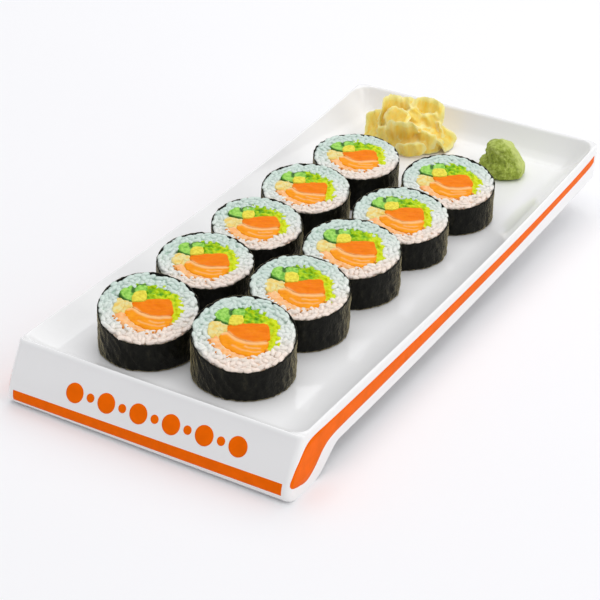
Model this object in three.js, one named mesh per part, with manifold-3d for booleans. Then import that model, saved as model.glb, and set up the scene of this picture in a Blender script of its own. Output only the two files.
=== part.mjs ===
// Ten slices of a thick maki roll on their long porcelain plate, with a heap of pickled ginger
// and a lump of wasabi. Millimetres, +Z up. X runs across the plate and Y along it, with the
// folded-down front end at -Y. The origin is on the table, under the middle of the plate.
import * as THREE from 'three';
import { mergeVertices } from 'three/addons/utils/BufferGeometryUtils.js';
import Module from 'manifold-3d';

const wasm = await Module();
wasm.setup();

// ---- driving dimensions ----

const PLATE_WIDTH = 146;
const FRONT_Y = -162.8; // furthest forward, low on the front panel
const FRONT_CREST_Y = -152;
const REAR_CREST_Y = 160.8;
const REAR_Y = 162.8;
const FLOOR_Z = 23.4; // the flat that the food lies on
const FRONT_CREST_Z = 28.4;
const REAR_CREST_RISE = 9; // how much higher the rim stands at the rear end
const RISE_START_Y = -40;
const BAND_FRONT_Z = 9.3; // lower edge of the side band behind the front leg
const BAND_REAR_RISE = 9.4;
const BAND_RISE_START_Y = -110;
const HOLLOW_Z = 16.8; // ceiling of the hollow under the floor
const HOLLOW_HALF_WIDTH = 58;
const HOLLOW_FLANK = 6; // width of the curve from that ceiling down to the side band
const SIDE_BANK = 16; // width of the slope from the crest down to the floor, at the sides
const FRONT_BANK = 9;
const REAR_BANK = 14;
const CREST_INSET = 1.1; // from the side face to the crest of the rim
const EDGE_DROP = 1.3; // how much lower than its crest the rim meets the side face
const FRONT_CORNER = 3;
const REAR_CORNER = 6;
const HEEL_Y = -144.5; // the front leg touches the table from the front panel to here
const LEG_REAR_Y = -121.5; // where the leg has run out into the side band
const LEG_INSIDE_Y = -152; // between the side bands the leg is only a wall
const LEG_FILLET = 11;
const FOOT_HALF_WIDTH = 46; // rear foot, a bar under the floor with sloping sides
const FOOT_FRONT_Y = 84;
const FOOT_REAR_Y = 110;
const FOOT_SLOPE = 6;

const GAP = 0.3; // between the food and what it lies on
const ROLL_SIDES = 32;
const NORI = 0.8; // drawn a little thicker than the sheet, which is wrapped one and a half times
const RICE_BUMP = 0.9; // how far a grain stands out of the cut face
const PIECE_DEPTH = 5; // how far down the pieces of filling are drawn
const CUT_DROP = 0.8; // how far the rice between the filling and the sheet lies below the cut
const FACE_TURN = 29.5; // degrees, all slices lie with their filling turned the same way

// The slices stand in two columns. Slant is the tilt of the cut face, in degrees.
const slices = [
  { name: 'roll_left_1', x: -25.2, y: -120.5, radius: 22.6, height: 19.9, slant: 14.5, turn: 2 },
  { name: 'roll_left_2', x: -27.0, y: -71.6, radius: 22.3, height: 20.6, slant: 8, turn: -2 },
  { name: 'roll_left_3', x: -26.4, y: -26.6, radius: 22.0, height: 20.2, slant: 8, turn: 1 },
  { name: 'roll_left_4', x: -25.3, y: 18.4, radius: 22.4, height: 20.4, slant: 8, turn: -3 },
  { name: 'roll_left_5', x: -21.8, y: 63.9, radius: 22.4, height: 20.5, slant: 6.5, turn: 4 },
  { name: 'roll_right_1', x: 22.7, y: -117.4, radius: 23.0, height: 21, slant: 15, turn: 0 },
  { name: 'roll_right_2', x: 23.1, y: -71.0, radius: 22.6, height: 21.8, slant: 11.5, turn: 3 },
  { name: 'roll_right_3', x: 24.6, y: -25.4, radius: 22.4, height: 21.1, slant: 11, turn: -2 },
  { name: 'roll_right_4', x: 26.8, y: 19.8, radius: 22.6, height: 19.4, slant: 11, turn: 2 },
  { name: 'roll_right_5', x: 30.2, y: 65.6, radius: 23.0, height: 19.4, slant: 11, turn: -1 },
];

// What fills a slice: salmon above and below, egg, cucumber, a pale chunk, avocado and leaf. The
// corners lie on a cut face of FACE_RADIUS, before it is turned. Rise is how far a piece stands out.
const FACE_RADIUS = 23;
const fillings = [
  { rise: 0.9, corners: [[-7, 3], [2, 5], [9.4, 5], [11, 0], [10.6, -3.4], [3, -5], [-5, -2.4]] },
  {
    rise: 0.6,
    corners: [[-9, -2.8], [-4.4, -4.2], [3, -6], [10.6, -4.4], [9.6, -9], [2, -12], [-7, -8.4]],
  },
  { rise: 1.1, corners: [[-7, 3.6], [-7, 8.2], [-1.6, 8.8], [-1.4, 3.9]] },
  { rise: 0.8, corners: [[-13, 6.6], [-11, 11.4], [-7.8, 11.6], [-7.6, 4.2], [-11.6, 4.2]] },
  { rise: 0.5, corners: [[-15.2, 2.4], [-9.6, 3.4], [-7.6, 1], [-10, -2.4], [-15, -2.6]] },
  { rise: 0.7, corners: [[-7, 9.2], [-1, 13.2], [8.6, 10.2], [10.4, 5.8], [-1, 5.2]] },
  { rise: 0.6, corners: [[9.4, 10], [14.6, 3.6], [14.4, -4.4], [11.6, -6.6], [11.4, 4.8]] },
];

const GINGER = { x: -24.5, y: 128.5, turn: 29.5, slice: 1.5 };
const GINGER_CORE = { x: 1, y: 0.5, width: 33, depth: 25, height: 14.5, setBack: 4 };
const WASABI = { x: 32.5, y: 127, turn: 29.5, radius: 12.2, height: 18.8, lean: 1.6 };

// Thin slices of ginger, folded and piled. Each row gives the middle of a slice (x to the right, y
// away and z up, seen from the side that faces it), its width and height, the way it faces, its tilt
// back and its turn in its own plane in degrees, how far it bends round across in radians (below zero
// it is hollow towards its face), how far its top curls back and the height of its ruffles.
const gingerSlices = [
  [-9, 8.8, 13.6, 22, 25, 20, 14, -14, -1.9, 0.2, 1.5],
  [-1.5, 10, 14.6, 15, 20, -12, 8, 8, 2.4, 0.3, 1.2],
  [9.8, 9.4, 13.8, 22, 22, -10, 20, -12, -1.5, 0.2, 1.6],
  [10.5, 1.5, 10.5, 19, 18, 14, 4, 14, 1.9, 0.7, 1.4],
  [-4.5, -8, 9.8, 21, 18, -10, -14, -6, 1.8, -0.2, 1.4],
  [-16.5, 7.5, 9.4, 17, 18, -42, 20, 18, -1.5, 0.3, 1.5],
  [-19.5, 5, 6, 14, 14, -62, 50, 0, 1.2, 0.3, 1.3],
  [-13, -4.5, 6.2, 19, 14, -40, 4, 10, 1.7, 0.3, 1.3],
  [0.5, -15.2, 4, 19, 10, -4, -10, 4, 1.5, 0.2, 0.9],
  [6.5, -9, 6.8, 16, 15, -30, 2, -14, 1.9, 0.5, 1.1],
  [17.2, -1.5, 5.2, 19, 17, 58, 52, 6, -1.9, 0.1, 1.4],
  [12.5, -9.4, 4, 19, 10, 26, 10, -4, 1.5, 0.4, 0.9],
  [3, 2.5, 15.8, 16, 13, 25, 38, 24, 2.1, 0.4, 1.2],
  [-6, 1, 15.4, 17, 13, -32, 42, -18, -1.8, 0.2, 1.2],
  [-7.5, 12.6, 9, 20, 18, 172, 12, 6, 1.6, 0.3, 1.3],
  [8, 12.2, 8.6, 20, 17, -165, 16, -8, 1.6, 0.3, 1.3],
  [17, 7, 7, 16, 15, 125, 20, 4, 1.5, 0.3, 1.3],
];

// ---- helpers ----

function smoothstep(from, to, value) {
  const t = Math.min(1, Math.max(0, (value - from) / (to - from)));
  return t * t * (3 - 2 * t);
}

function lerp(a, b, t) {
  return a + (b - a) * t;
}

function seeded(seed) {
  let state = seed * 7919 + 17;
  return () => {
    state = (state * 48271) % 2147483647;
    return state / 2147483647;
  };
}

function geometryOf(positions, triangles) {
  const geometry = new THREE.BufferGeometry();
  geometry.setAttribute('position', new THREE.Float32BufferAttribute(positions, 3));
  geometry.setIndex(triangles);
  return geometry;
}

// Rings of equal length joined by quads. Each end is closed on a middle point.
function closedRings(rings, firstMiddle, lastMiddle) {
  const count = rings[0].length;
  const positions = rings.flat(2);
  const triangles = [];
  for (let ring = 0; ring < rings.length - 1; ring += 1) {
    for (let side = 0; side < count; side += 1) {
      const a = ring * count + side;
      const b = ring * count + ((side + 1) % count);
      triangles.push(a, b, b + count, a, b + count, a + count);
    }
  }
  const first = rings.length * count;
  positions.push(...firstMiddle, ...lastMiddle);
  for (let side = 0; side < count; side += 1) {
    const next = (side + 1) % count;
    const top = (rings.length - 1) * count;
    triangles.push(first, next, side);
    triangles.push(first + 1, top + side, top + next);
  }
  return geometryOf(positions, triangles);
}

function solidOf(geometry) {
  const bare = geometry.clone();
  bare.deleteAttribute('normal');
  bare.deleteAttribute('uv');
  const merged = mergeVertices(bare, 1e-4);
  const vertProperties = new Float32Array(merged.attributes.position.array);
  const triVerts = new Uint32Array(merged.index.array);
  return new wasm.Manifold(new wasm.Mesh({ numProp: 3, vertProperties, triVerts }));
}

function geometryFrom(solid) {
  const mesh = solid.getMesh();
  return geometryOf(Array.from(mesh.vertProperties), Array.from(mesh.triVerts));
}

// The largest of the closed surfaces in a solid, so a space that joining has sealed is filled.
function outerShell(solid) {
  return solid.decompose().reduce((kept, next) => (next.volume() > kept.volume() ? next : kept));
}

function finish(name, geometry, color, roughness) {
  geometry.computeVertexNormals();
  const material = new THREE.MeshStandardMaterial({ color, roughness, metalness: 0 });
  const mesh = new THREE.Mesh(geometry, material);
  mesh.name = name;
  return mesh;
}

// ---- plate ----

function crestHeight(y) {
  const along = Math.max(0, (y - RISE_START_Y) / (REAR_CREST_Y - RISE_START_Y));
  return FRONT_CREST_Z + REAR_CREST_RISE * along * along;
}

// Lower edge of the side band: down to the table at the front leg, rising towards the rear.
function bandHeight(y) {
  const along = Math.max(0, (y - BAND_RISE_START_Y) / (REAR_Y - BAND_RISE_START_Y));
  const slab = BAND_FRONT_Z + BAND_REAR_RISE * along ** 1.8;
  return slab * smoothstep(HEEL_Y, LEG_REAR_Y, y);
}

// Underside between the side bands, hollowed up to the floor's own thickness.
function hollowHeight(y) {
  const ceiling = Math.max(HOLLOW_Z, bandHeight(y));
  return ceiling * smoothstep(LEG_INSIDE_Y, LEG_INSIDE_Y + LEG_FILLET, y);
}

function underside(x, y) {
  const hollow = 1 - smoothstep(HOLLOW_HALF_WIDTH, HOLLOW_HALF_WIDTH + HOLLOW_FLANK, Math.abs(x));
  const open = lerp(bandHeight(y), hollowHeight(y), hollow);
  const across = 1 - smoothstep(FOOT_HALF_WIDTH, FOOT_HALF_WIDTH + FOOT_SLOPE, Math.abs(x));
  const behind = smoothstep(FOOT_FRONT_Y, FOOT_FRONT_Y + FOOT_SLOPE, y);
  const before = 1 - smoothstep(FOOT_REAR_Y - FOOT_SLOPE, FOOT_REAR_Y, y);
  return open * (1 - across * behind * before);
}

// The upper face inside the rim: flat floor, then a bank that curves up to the crest.
function upperFace(x, y) {
  const crestX = PLATE_WIDTH / 2 - CREST_INSET;
  const sideways = Math.max(0, (Math.abs(x) - crestX + SIDE_BANK) / SIDE_BANK);
  const forward = Math.max(0, (FRONT_CREST_Y + FRONT_BANK - y) / FRONT_BANK);
  const rearward = Math.max(0, (y - REAR_CREST_Y + REAR_BANK) / REAR_BANK);
  const endways = Math.max(forward, rearward);
  const climb = Math.min(1, (sideways ** 3 + endways ** 3) ** (1 / 3));
  return FLOOR_Z + (crestHeight(y) - FLOOR_Z) * climb ** 1.9;
}

// One closed outline round the plate's section at x, from the foot up the front panel, over the
// rim, along the floor, over the rear rim and back underneath.
function sectionAt(x) {
  const side = PLATE_WIDTH / 2 - Math.abs(x);
  const rounding = Math.max(0, 1 - side / CREST_INSET);
  const edgeDrop = EDGE_DROP * rounding * rounding;
  const cornerIn = (radius) => {
    const into = Math.max(0, radius - side);
    return radius - Math.sqrt(radius * radius - into * into);
  };
  const shrink = (y) => {
    const corner = y < 0 ? cornerIn(FRONT_CORNER) : cornerIn(REAR_CORNER);
    return y * (1 - corner / REAR_Y);
  };
  const panel = [[-161.2, 0.8], [-162.5, 2.8], [FRONT_Y, 6], [-161.5, 11], [-159, 16.4], [-155.9, 22]];
  const frontRim = [[-154, 25.6], [-153.2, 27.5], [FRONT_CREST_Y, FRONT_CREST_Z], [-150.8, 27.8]];
  const inner = [-149, -146.8, -143, -100, -50, 0, 50, 100, 146, 150, 153, 156, 158.6];
  const rearRim = [[REAR_CREST_Y, 0], [162.2, 0.7], [REAR_Y, 2.6], [162, 12]];
  const below = [160.2, 140, 110, 104, 90, 84, 50, 10, -30, -70, -110, LEG_REAR_Y];
  const leg = [-127.5, -132, -136, -140, HEEL_Y, -148.5, LEG_INSIDE_Y, -158.8];
  const points = [];
  for (const [y, z] of panel) {
    points.push([y, z]);
  }
  for (const [y, z] of frontRim) {
    points.push([y, z - edgeDrop]);
  }
  for (const y of inner) {
    points.push([y, upperFace(x, y) - edgeDrop]);
  }
  for (const [y, drop] of rearRim) {
    points.push([y, crestHeight(REAR_CREST_Y) - drop - edgeDrop]);
  }
  for (const y of [...below, ...leg]) {
    points.push([y, underside(x, y) + edgeDrop * smoothstep(HEEL_Y, LEG_REAR_Y, y)]);
  }
  return points.map(([y, z]) => [x, shrink(y), z]);
}

// Triangles of the flat side face: a strip between the upper and the lower edge of the outline,
// which always takes the shorter of the two next crossings.
function sideFace(outline) {
  const distance = (i, j) => Math.hypot(outline[i][1] - outline[j][1], outline[i][2] - outline[j][2]);
  const faces = [];
  let upper = 0;
  let lower = outline.length - 1;
  while (upper + 1 < lower) {
    const climb = distance(upper + 1, lower) < distance(upper, lower - 1);
    faces.push(climb ? [upper, upper + 1, lower] : [upper, lower - 1, lower]);
    upper += climb ? 1 : 0;
    lower -= climb ? 0 : 1;
  }
  return faces;
}

function buildPlate() {
  const half = PLATE_WIDTH / 2;
  const right = [46, 52, 57, 60, 63, 66, 69, half - CREST_INSET, half - 0.4, half];
  const stations = [...right.map((x) => -x).reverse(), 0, ...right];
  const rings = stations.map(sectionAt);
  const count = rings[0].length;
  const positions = rings.flat(2);
  const triangles = [];
  for (let ring = 0; ring < rings.length - 1; ring += 1) {
    for (let side = 0; side < count; side += 1) {
      const a = ring * count + side;
      const b = ring * count + ((side + 1) % count);
      triangles.push(a, b + count, b, a, a + count, b + count);
    }
  }
  const last = (rings.length - 1) * count;
  for (const [a, b, c] of sideFace(rings[0])) {
    triangles.push(a, b, c);
    triangles.push(last + a, last + c, last + b);
  }
  return finish('plate', geometryOf(positions, triangles), 0xf4f4f3, 0.15);
}

// ---- slices of roll ----

function cutHeight(slice, y) {
  return slice.height + y * Math.tan(THREE.MathUtils.degToRad(slice.slant));
}

// Sheet round the outside, its rim, and the rice as rings of grain-sized bumps.
function rollCore(slice, random) {
  const flatTowards = THREE.MathUtils.degToRad(90 - FACE_TURN);
  const wobble = random() * Math.PI * 2;
  const outline = (angle) => {
    const squeezed = 1 - 0.012 * Math.cos(2 * (angle - flatTowards));
    return squeezed + 0.006 * Math.cos(3 * angle + wobble);
  };
  const ring = (radius, height) => {
    const points = [];
    for (let side = 0; side < ROLL_SIDES; side += 1) {
      const angle = (side / ROLL_SIDES) * Math.PI * 2;
      const reach = radius * outline(angle);
      const x = reach * Math.cos(angle);
      const y = reach * Math.sin(angle);
      points.push([x, y, height(side, y)]);
    }
    return points;
  };
  const cut = (drop) => (side, y) => cutHeight(slice, y) - drop;
  const grains = (phase) => (side, y) => {
    const raised = (side + phase) % 2 === 0 ? RICE_BUMP : 0;
    return cutHeight(slice, y) - CUT_DROP + raised * (0.6 + 0.4 * random());
  };
  const r = slice.radius;
  const rings = [
    ring(r - 0.9, () => 0),
    ring(r, () => 0.9),
    ring(r, cut(0.1)),
    ring(r - NORI, cut(0)),
    ring(r - NORI - 0.3, cut(CUT_DROP)),
    ring(r * 0.87, grains(0)),
    ring(r * 0.77, grains(1)),
    ring(r * 0.68, cut(CUT_DROP)),
  ];
  return closedRings(rings, [0, 0, 0], [0, 0, cutHeight(slice, 0) - CUT_DROP]);
}

// One piece of the filling, standing out of the rice by its rise.
function fillingPiece(slice, filling) {
  const scale = slice.radius / FACE_RADIUS;
  const shape = new THREE.Shape(filling.corners.map(([x, y]) => new THREE.Vector2(x * scale, y * scale)));
  const geometry = new THREE.ExtrudeGeometry(shape, { depth: 1, bevelEnabled: false });
  const position = geometry.attributes.position;
  for (let i = 0; i < position.count; i += 1) {
    const drop = position.getZ(i) > 0.5 ? CUT_DROP - filling.rise : PIECE_DEPTH;
    position.setZ(i, cutHeight(slice, position.getY(i)) - drop);
  }
  return solidOf(geometry);
}

function buildRoll(slice, index) {
  let solid = solidOf(rollCore(slice, seeded(index + 1)));
  for (const filling of fillings) {
    solid = solid.add(fillingPiece(slice, filling));
  }
  const mesh = finish(slice.name, geometryFrom(solid), 0x2b332a, 0.6);
  mesh.position.set(slice.x, slice.y, FLOOR_Z + GAP);
  mesh.rotation.z = THREE.MathUtils.degToRad(FACE_TURN + slice.turn);
  return mesh;
}

// ---- pickled ginger ----

// A thin slice of ginger: an oval sheet, bent round, pleated and ruffled.
function gingerSlice(row, index) {
  const [atX, atY, atZ, width, height, facing, tilt, twist, bend, curl, ruffle] = row;
  const steps = width > 20 ? 5 : 4;
  const face = THREE.MathUtils.degToRad(facing);
  const back = THREE.MathUtils.degToRad(tilt);
  const turned = THREE.MathUtils.degToRad(twist);
  const outward = new THREE.Vector3(
    Math.sin(face) * Math.cos(back), -Math.cos(face) * Math.cos(back), Math.sin(back));
  const upward = new THREE.Vector3(
    -Math.sin(face) * Math.sin(back), Math.cos(face) * Math.sin(back), Math.cos(back));
  const sideward = new THREE.Vector3(Math.cos(face), Math.sin(face), 0);
  const radius = width / bend;
  const middle = (i, j) => {
    const a = (i / steps) * 2 - 1;
    const b = (j / steps) * 2 - 1;
    const along = (a * Math.sqrt(1 - b * b * 0.42) * width) / 2;
    const top = Math.max(0, b);
    const straight = (b * Math.sqrt(1 - a * a * 0.42) * height) / 2;
    const up = straight - (0.35 * curl * top ** 3 * height) / 2;
    const around = Math.atan2(b, a);
    const rim = (a * a + b * b) / 2;
    const waves = 0.8 * Math.sin(3 * around + index * 1.7) + 0.5 * Math.sin(5 * around + index * 2.9);
    const pleat = Math.abs(Math.cos(Math.PI * 2 * (0.75 * a + 0.16 * b) + index * 2.3));
    const folds = 0.75 * (1 - 2 * pleat ** 0.8) * (0.35 + 0.65 * smoothstep(-0.8, 0.8, b));
    const rise = ruffle * (rim * waves + folds) - (curl * top * top * height) / 4;
    const out = rise - radius * (1 - Math.cos(along / radius));
    const across = radius * Math.sin(along / radius);
    const x = across * Math.cos(turned) - up * Math.sin(turned);
    const y = across * Math.sin(turned) + up * Math.cos(turned);
    const point = new THREE.Vector3(atX, atY, atZ).addScaledVector(sideward, x);
    return point.addScaledVector(upward, y).addScaledVector(outward, out);
  };
  const normal = (i, j) => {
    const alongA = middle(Math.min(i + 1, steps), j).sub(middle(Math.max(i - 1, 0), j));
    const alongB = middle(i, Math.min(j + 1, steps)).sub(middle(i, Math.max(j - 1, 0)));
    return alongA.cross(alongB).normalize();
  };
  const positions = [];
  const triangles = [];
  const columns = steps + 1;
  const layer = columns * columns;
  for (const side of [-0.5, 0.5]) {
    for (let i = 0; i <= steps; i += 1) {
      for (let j = 0; j <= steps; j += 1) {
        const point = middle(i, j).addScaledVector(normal(i, j), side * GINGER.slice);
        positions.push(point.x, point.y, Math.max(point.z, 0.8 + side * GINGER.slice));
      }
    }
  }
  const quad = (a, b, c, d) => triangles.push(a, b, c, a, c, d);
  for (let i = 0; i < steps; i += 1) {
    for (let j = 0; j < steps; j += 1) {
      const a = i * columns + j;
      const b = a + columns;
      quad(a, a + 1, b + 1, b);
      quad(layer + a, layer + b, layer + b + 1, layer + a + 1);
    }
    const a = i * columns;
    const b = a + columns;
    quad(a, b, layer + b, layer + a);
    quad(b + steps, a + steps, layer + a + steps, layer + b + steps);
  }
  for (let j = 0; j < steps; j += 1) {
    const right = steps * columns + j;
    quad(j + 1, j, layer + j, layer + j + 1);
    quad(right, right + 1, layer + right + 1, layer + right);
  }
  return geometryOf(positions, triangles);
}

function gingerCore() {
  const random = seeded(71);
  const sides = 16;
  const levels = [[0.9, 0], [1, 0.12], [0.95, 0.4], [0.75, 0.7], [0.4, 0.93]];
  const rings = levels.map(([reach, rise]) => {
    const points = [];
    for (let side = 0; side < sides; side += 1) {
      const angle = (side / sides) * Math.PI * 2;
      const share = reach * (0.94 + 0.12 * random());
      const x = GINGER_CORE.x + (GINGER_CORE.width / 2) * share * Math.cos(angle);
      const y = GINGER_CORE.y + (GINGER_CORE.depth / 2) * share * Math.sin(angle);
      points.push([x, y + GINGER_CORE.setBack * rise, GINGER_CORE.height * rise]);
    }
    return points;
  });
  const low = [GINGER_CORE.x, GINGER_CORE.y, 0];
  const high = [GINGER_CORE.x, GINGER_CORE.y + GINGER_CORE.setBack, GINGER_CORE.height];
  return closedRings(rings, low, high);
}

function buildGinger() {
  let solid = solidOf(gingerCore());
  gingerSlices.forEach((row, index) => {
    solid = solid.add(solidOf(gingerSlice(row, index)));
  });
  const mesh = finish('ginger', geometryFrom(outerShell(solid)), 0xf3d46a, 0.35);
  mesh.position.set(GINGER.x, GINGER.y, FLOOR_Z + GAP);
  mesh.rotation.z = THREE.MathUtils.degToRad(GINGER.turn);
  return mesh;
}

// ---- wasabi ----

// A pinched lump. One side slopes, the rest stands steep over a bulge, a ridge parts the two, and a
// small peak is left on the flat top. Each level gives the reach of both sides and the height.
const wasabiLevels = [
  [0.86, 0.86, 0],
  [0.98, 0.98, 0.08],
  [1, 1, 0.2],
  [0.94, 0.96, 0.31],
  [0.75, 0.86, 0.42],
  [0.69, 0.71, 0.6],
  [0.65, 0.58, 0.75],
  [0.57, 0.46, 0.87],
  [0.3, 0.26, 0.92],
  [0.1, 0.1, 0.98],
];

function buildWasabi() {
  const random = seeded(5);
  const sides = 24;
  const degree = Math.PI / 180;
  const rings = wasabiLevels.map(([steepReach, slopeReach, rise]) => {
    const points = [];
    for (let side = 0; side < sides; side += 1) {
      const angle = (side / sides) * 360;
      const fromSlope = Math.abs(((angle + 150) % 360) - 180);
      const fromRidge = Math.abs(((angle + 225) % 360) - 180);
      const steep = smoothstep(65, 95, fromSlope);
      const ridge = 0.1 * Math.exp(-((fromRidge / 14) ** 2)) * (1 - rise);
      const reach = slopeReach + (steepReach - slopeReach) * steep + ridge;
      const radius = WASABI.radius * reach * (0.97 + 0.06 * random());
      const z = rise === 0 ? 0 : WASABI.height * (rise + 0.02 * (random() - 0.5));
      const x = radius * Math.cos(angle * degree) - WASABI.lean * rise * rise;
      points.push([x, radius * Math.sin(angle * degree), z]);
    }
    return points;
  });
  const geometry = closedRings(rings, [0, 0, 0], [-WASABI.lean, 0, WASABI.height]);
  const mesh = finish('wasabi', geometry, 0xa3b84e, 0.7);
  mesh.position.set(WASABI.x, WASABI.y, FLOOR_Z + GAP);
  mesh.rotation.z = WASABI.turn * degree;
  return mesh;
}

// ---- assembly ----

const platter = new THREE.Group();
platter.add(buildPlate());
slices.forEach((slice, index) => platter.add(buildRoll(slice, index)));
platter.add(buildGinger());
platter.add(buildWasabi());

export default platter;
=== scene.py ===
"""Looks of a maki sushi platter, laid out as a Blender add-on and run as a script.

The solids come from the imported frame. Everything that shows is made here in their place: the glazed
plate with its fired decoration, the slices of roll with their seaweed, rice grains and filling, the
pickled ginger and the wasabi. Shapes are written in millimetres and turned to metres in new_piece.
"""

import math
from functools import partial

import bmesh
import bpy
import numpy as np
from bpy.props import FloatProperty, FloatVectorProperty, IntProperty, PointerProperty
from mathutils import Euler, Matrix, Vector, kdtree, noise


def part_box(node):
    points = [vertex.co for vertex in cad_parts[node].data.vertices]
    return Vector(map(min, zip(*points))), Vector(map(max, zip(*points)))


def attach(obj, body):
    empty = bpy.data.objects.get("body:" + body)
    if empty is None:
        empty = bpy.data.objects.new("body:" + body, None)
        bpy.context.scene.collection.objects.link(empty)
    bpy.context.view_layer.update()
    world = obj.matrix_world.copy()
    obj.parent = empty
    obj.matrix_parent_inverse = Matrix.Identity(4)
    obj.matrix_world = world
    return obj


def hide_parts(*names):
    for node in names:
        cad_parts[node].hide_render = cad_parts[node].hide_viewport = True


bl_info = {
    "name": "Maki Sushi Platter",
    "version": (1, 0, 0),
    "blender": (4, 5, 0),
    "location": "View3D > Sidebar > Maki",
    "description": "Builds the plate, the slices of roll, the ginger and the wasabi round their solids",
    "category": "Object",
}

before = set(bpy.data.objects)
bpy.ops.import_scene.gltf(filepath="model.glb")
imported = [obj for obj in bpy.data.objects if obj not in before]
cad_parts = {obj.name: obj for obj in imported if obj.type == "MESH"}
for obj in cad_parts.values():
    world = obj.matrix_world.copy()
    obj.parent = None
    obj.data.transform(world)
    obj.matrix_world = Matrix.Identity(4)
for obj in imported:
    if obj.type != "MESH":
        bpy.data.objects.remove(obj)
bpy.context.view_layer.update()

MM = 0.001

# ---- the plate, in millimetres, as its solid has it ----

PLATE_LOW, PLATE_HIGH = (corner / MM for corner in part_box("plate"))
HALF_WIDTH = PLATE_HIGH.x
FRONT_Y = PLATE_LOW.y
REAR_Y = PLATE_HIGH.y
REAR_CREST_Z = PLATE_HIGH.z
GARNISH_LIFT = 0.3  # the ginger and the wasabi stand this far above the floor
FLOOR_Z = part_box("wasabi")[0].z / MM - GARNISH_LIFT
FRONT_CREST_Y = FRONT_Y + 10.8
FRONT_CREST_Z = FLOOR_Z + 5
REAR_CREST_Y = REAR_Y - 2
RISE_START_Y = -40
BAND_FRONT_Z = 9.3
BAND_REAR_RISE = 9.4
BAND_RISE_START_Y = -110
HOLLOW_Z = FLOOR_Z - 6.6
HOLLOW_HALF_WIDTH = 58
HOLLOW_FLANK = 6
SIDE_BANK = 16
FRONT_BANK = 9
REAR_BANK = 14
CREST_INSET = 1.1
EDGE_DROP = 1.3
FRONT_CORNER = 3
REAR_CORNER = 6
HEEL_Y = -144.5
LEG_REAR_Y = -121.5
LEG_INSIDE_Y = -152
LEG_FILLET = 11
FOOT_HALF_WIDTH = 46
FOOT_FRONT_Y = 84
FOOT_REAR_Y = 110
FOOT_SLOPE = 6
# Section of the front panel and its rim, from the foot up to the crest: y and z.
PANEL = (
    (-158.8, 0), (-161.2, 0.8), (-162.5, 2.8), (FRONT_Y, 6), (-161.5, 11), (-159, 16.4), (-155.9, 22),
    (-154, 25.6), (-153.1, 27.6), (FRONT_CREST_Y, FRONT_CREST_Z), (-150.9, 27.7),
)
PANEL_FACE = PANEL[:9]
# By the sides the rim drops, and with it the panel, more and more between these heights.
PANEL_DROP = (22, 26)
# Section of the rear edge, from the crest down: y and depth.
REAR_EDGE = ((REAR_CREST_Y, 0), (162.1, 0.6), (REAR_Y, 2.6), (162.4, 8), (161.6, 13))
REAR_FACE_Y = 160.5
REAR_FACE_GAP = 1.5  # the rear edge ends this far above the underside there
# Where the plate's sections have their points, close together where it bends: from, to, how many.
ABOVE_Y = ((-150.3, -142, 14), (-139, 144, 72), (146, 160, 22))
BELOW_Y = (
    (160.3, 112, 24), (110, 103, 12), (102, 91, 5), (90.4, 83.6, 12), (80, -116, 44), (-118, -157.5, 44),
)
# How far in from the sides the sections lie: under the bank, by the foot's flank and in the middle.
INWARD = (
    (1.5, 6, 10), (7, 18, 12),
    (HALF_WIDTH - FOOT_HALF_WIDTH - FOOT_SLOPE, HALF_WIDTH - FOOT_HALF_WIDTH, 8), (30, HALF_WIDTH, 14),
)
# The stripe along the side: y, lower edge and upper edge. It ends in a point low on the front leg.
SIDE_STRIPE = (
    (-161.1, 8.7, 9.0), (-160.4, 7.6, 11.0), (-157.5, 6.3, 15.6), (-154.0, 5.4, 19.2),
    (-150.5, 4.6, 22.2), (-147.5, 4.7, 23.7), (-144.0, 6.0, 24.3), (-140.0, 8.6, 24.4),
    (-134.6, 12.9, 24.2), (-128.0, 15.2, 24.1), (-115.0, 15.9, 23.9), (-78.0, 16.4, 23.8),
    (-14.0, 18.1, 24.1), (57.0, 20.7, 25.8), (116.0, 24.5, 28.7), (147.0, 26.9, 31.4),
    (155.0, 28.6, 32.6),
)
# Both ends of the stripe and of the row of discs on the front panel: x, and the heights there.
FRONT_STRIPE = ((-69.3, 2.9, 7.9), (69.2, 4.2, 9.6))
DISC_ROW = ((-37.5, 15.6), (45.5, 17.4))
ENAMEL_LIFT = 0.05  # the enamel stands this far above the glaze
ENAMEL_ROOT = 0.3  # and is drawn down into it this far

# ---- the slices of roll ----

FACE_TURN = 29.5  # degrees, the way all the filling faces
FACE_RADIUS = 23  # the radius that the outlines below are drawn for
# Name, slant of the cut face and turn of the filling in degrees, and how much wider than deep.
SLICES = (
    ("left_1", 14.5, 2, 1.01),
    ("left_2", 8, -2, 1.03),
    ("left_3", 8, 1, 1.015),
    ("left_4", 8, -3, 1),
    ("left_5", 6.5, 4, 1),
    ("right_1", 15, 0, 1.01),
    ("right_2", 11.5, 3, 1.025),
    ("right_3", 11, -2, 1.06),
    ("right_4", 11, 2, 1.055),
    ("right_5", 11, -1, 1.035),
)
# How far out of round a slice is, flatter one way and swaying in and out, as shares of its radius.
SQUEEZE, SWAY = 0.012, 0.006
BEND, BEND_SIZE = 0.9, 9  # how far each slice's outlines bend their own way, and the bends' size
NORI_COLUMNS, NORI_ROWS = 224, 20
NORI_INSET = 0.4  # the sheet lies this far inside the outline, so that its wrinkles stay near it
NORI_DROP = 0.35  # and ends this far below the cut face
# Lumps that make its cut edge ragged. Here and below, each layer of lumps has its height, its size and
# a seed of its own.
NORI_RAGGED = ((0.5, 2.2, 0), (0.15, 0.7, 0))
# Its wrinkles: their width over their height, and their layer of lumps.
NORI_WRINKLES = {
    "upright": (0.3, (0.2, 2.6, 7)),
    "slanting": (0.35, (0.5, 2.8, 20)),
    "fine": (0.6, (0.12, 0.9, 40)),
}
LAP = 0.3  # how far the sheet stands out where it laps over itself
TUCK = 0.35  # and how far it is drawn in at the foot
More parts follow.
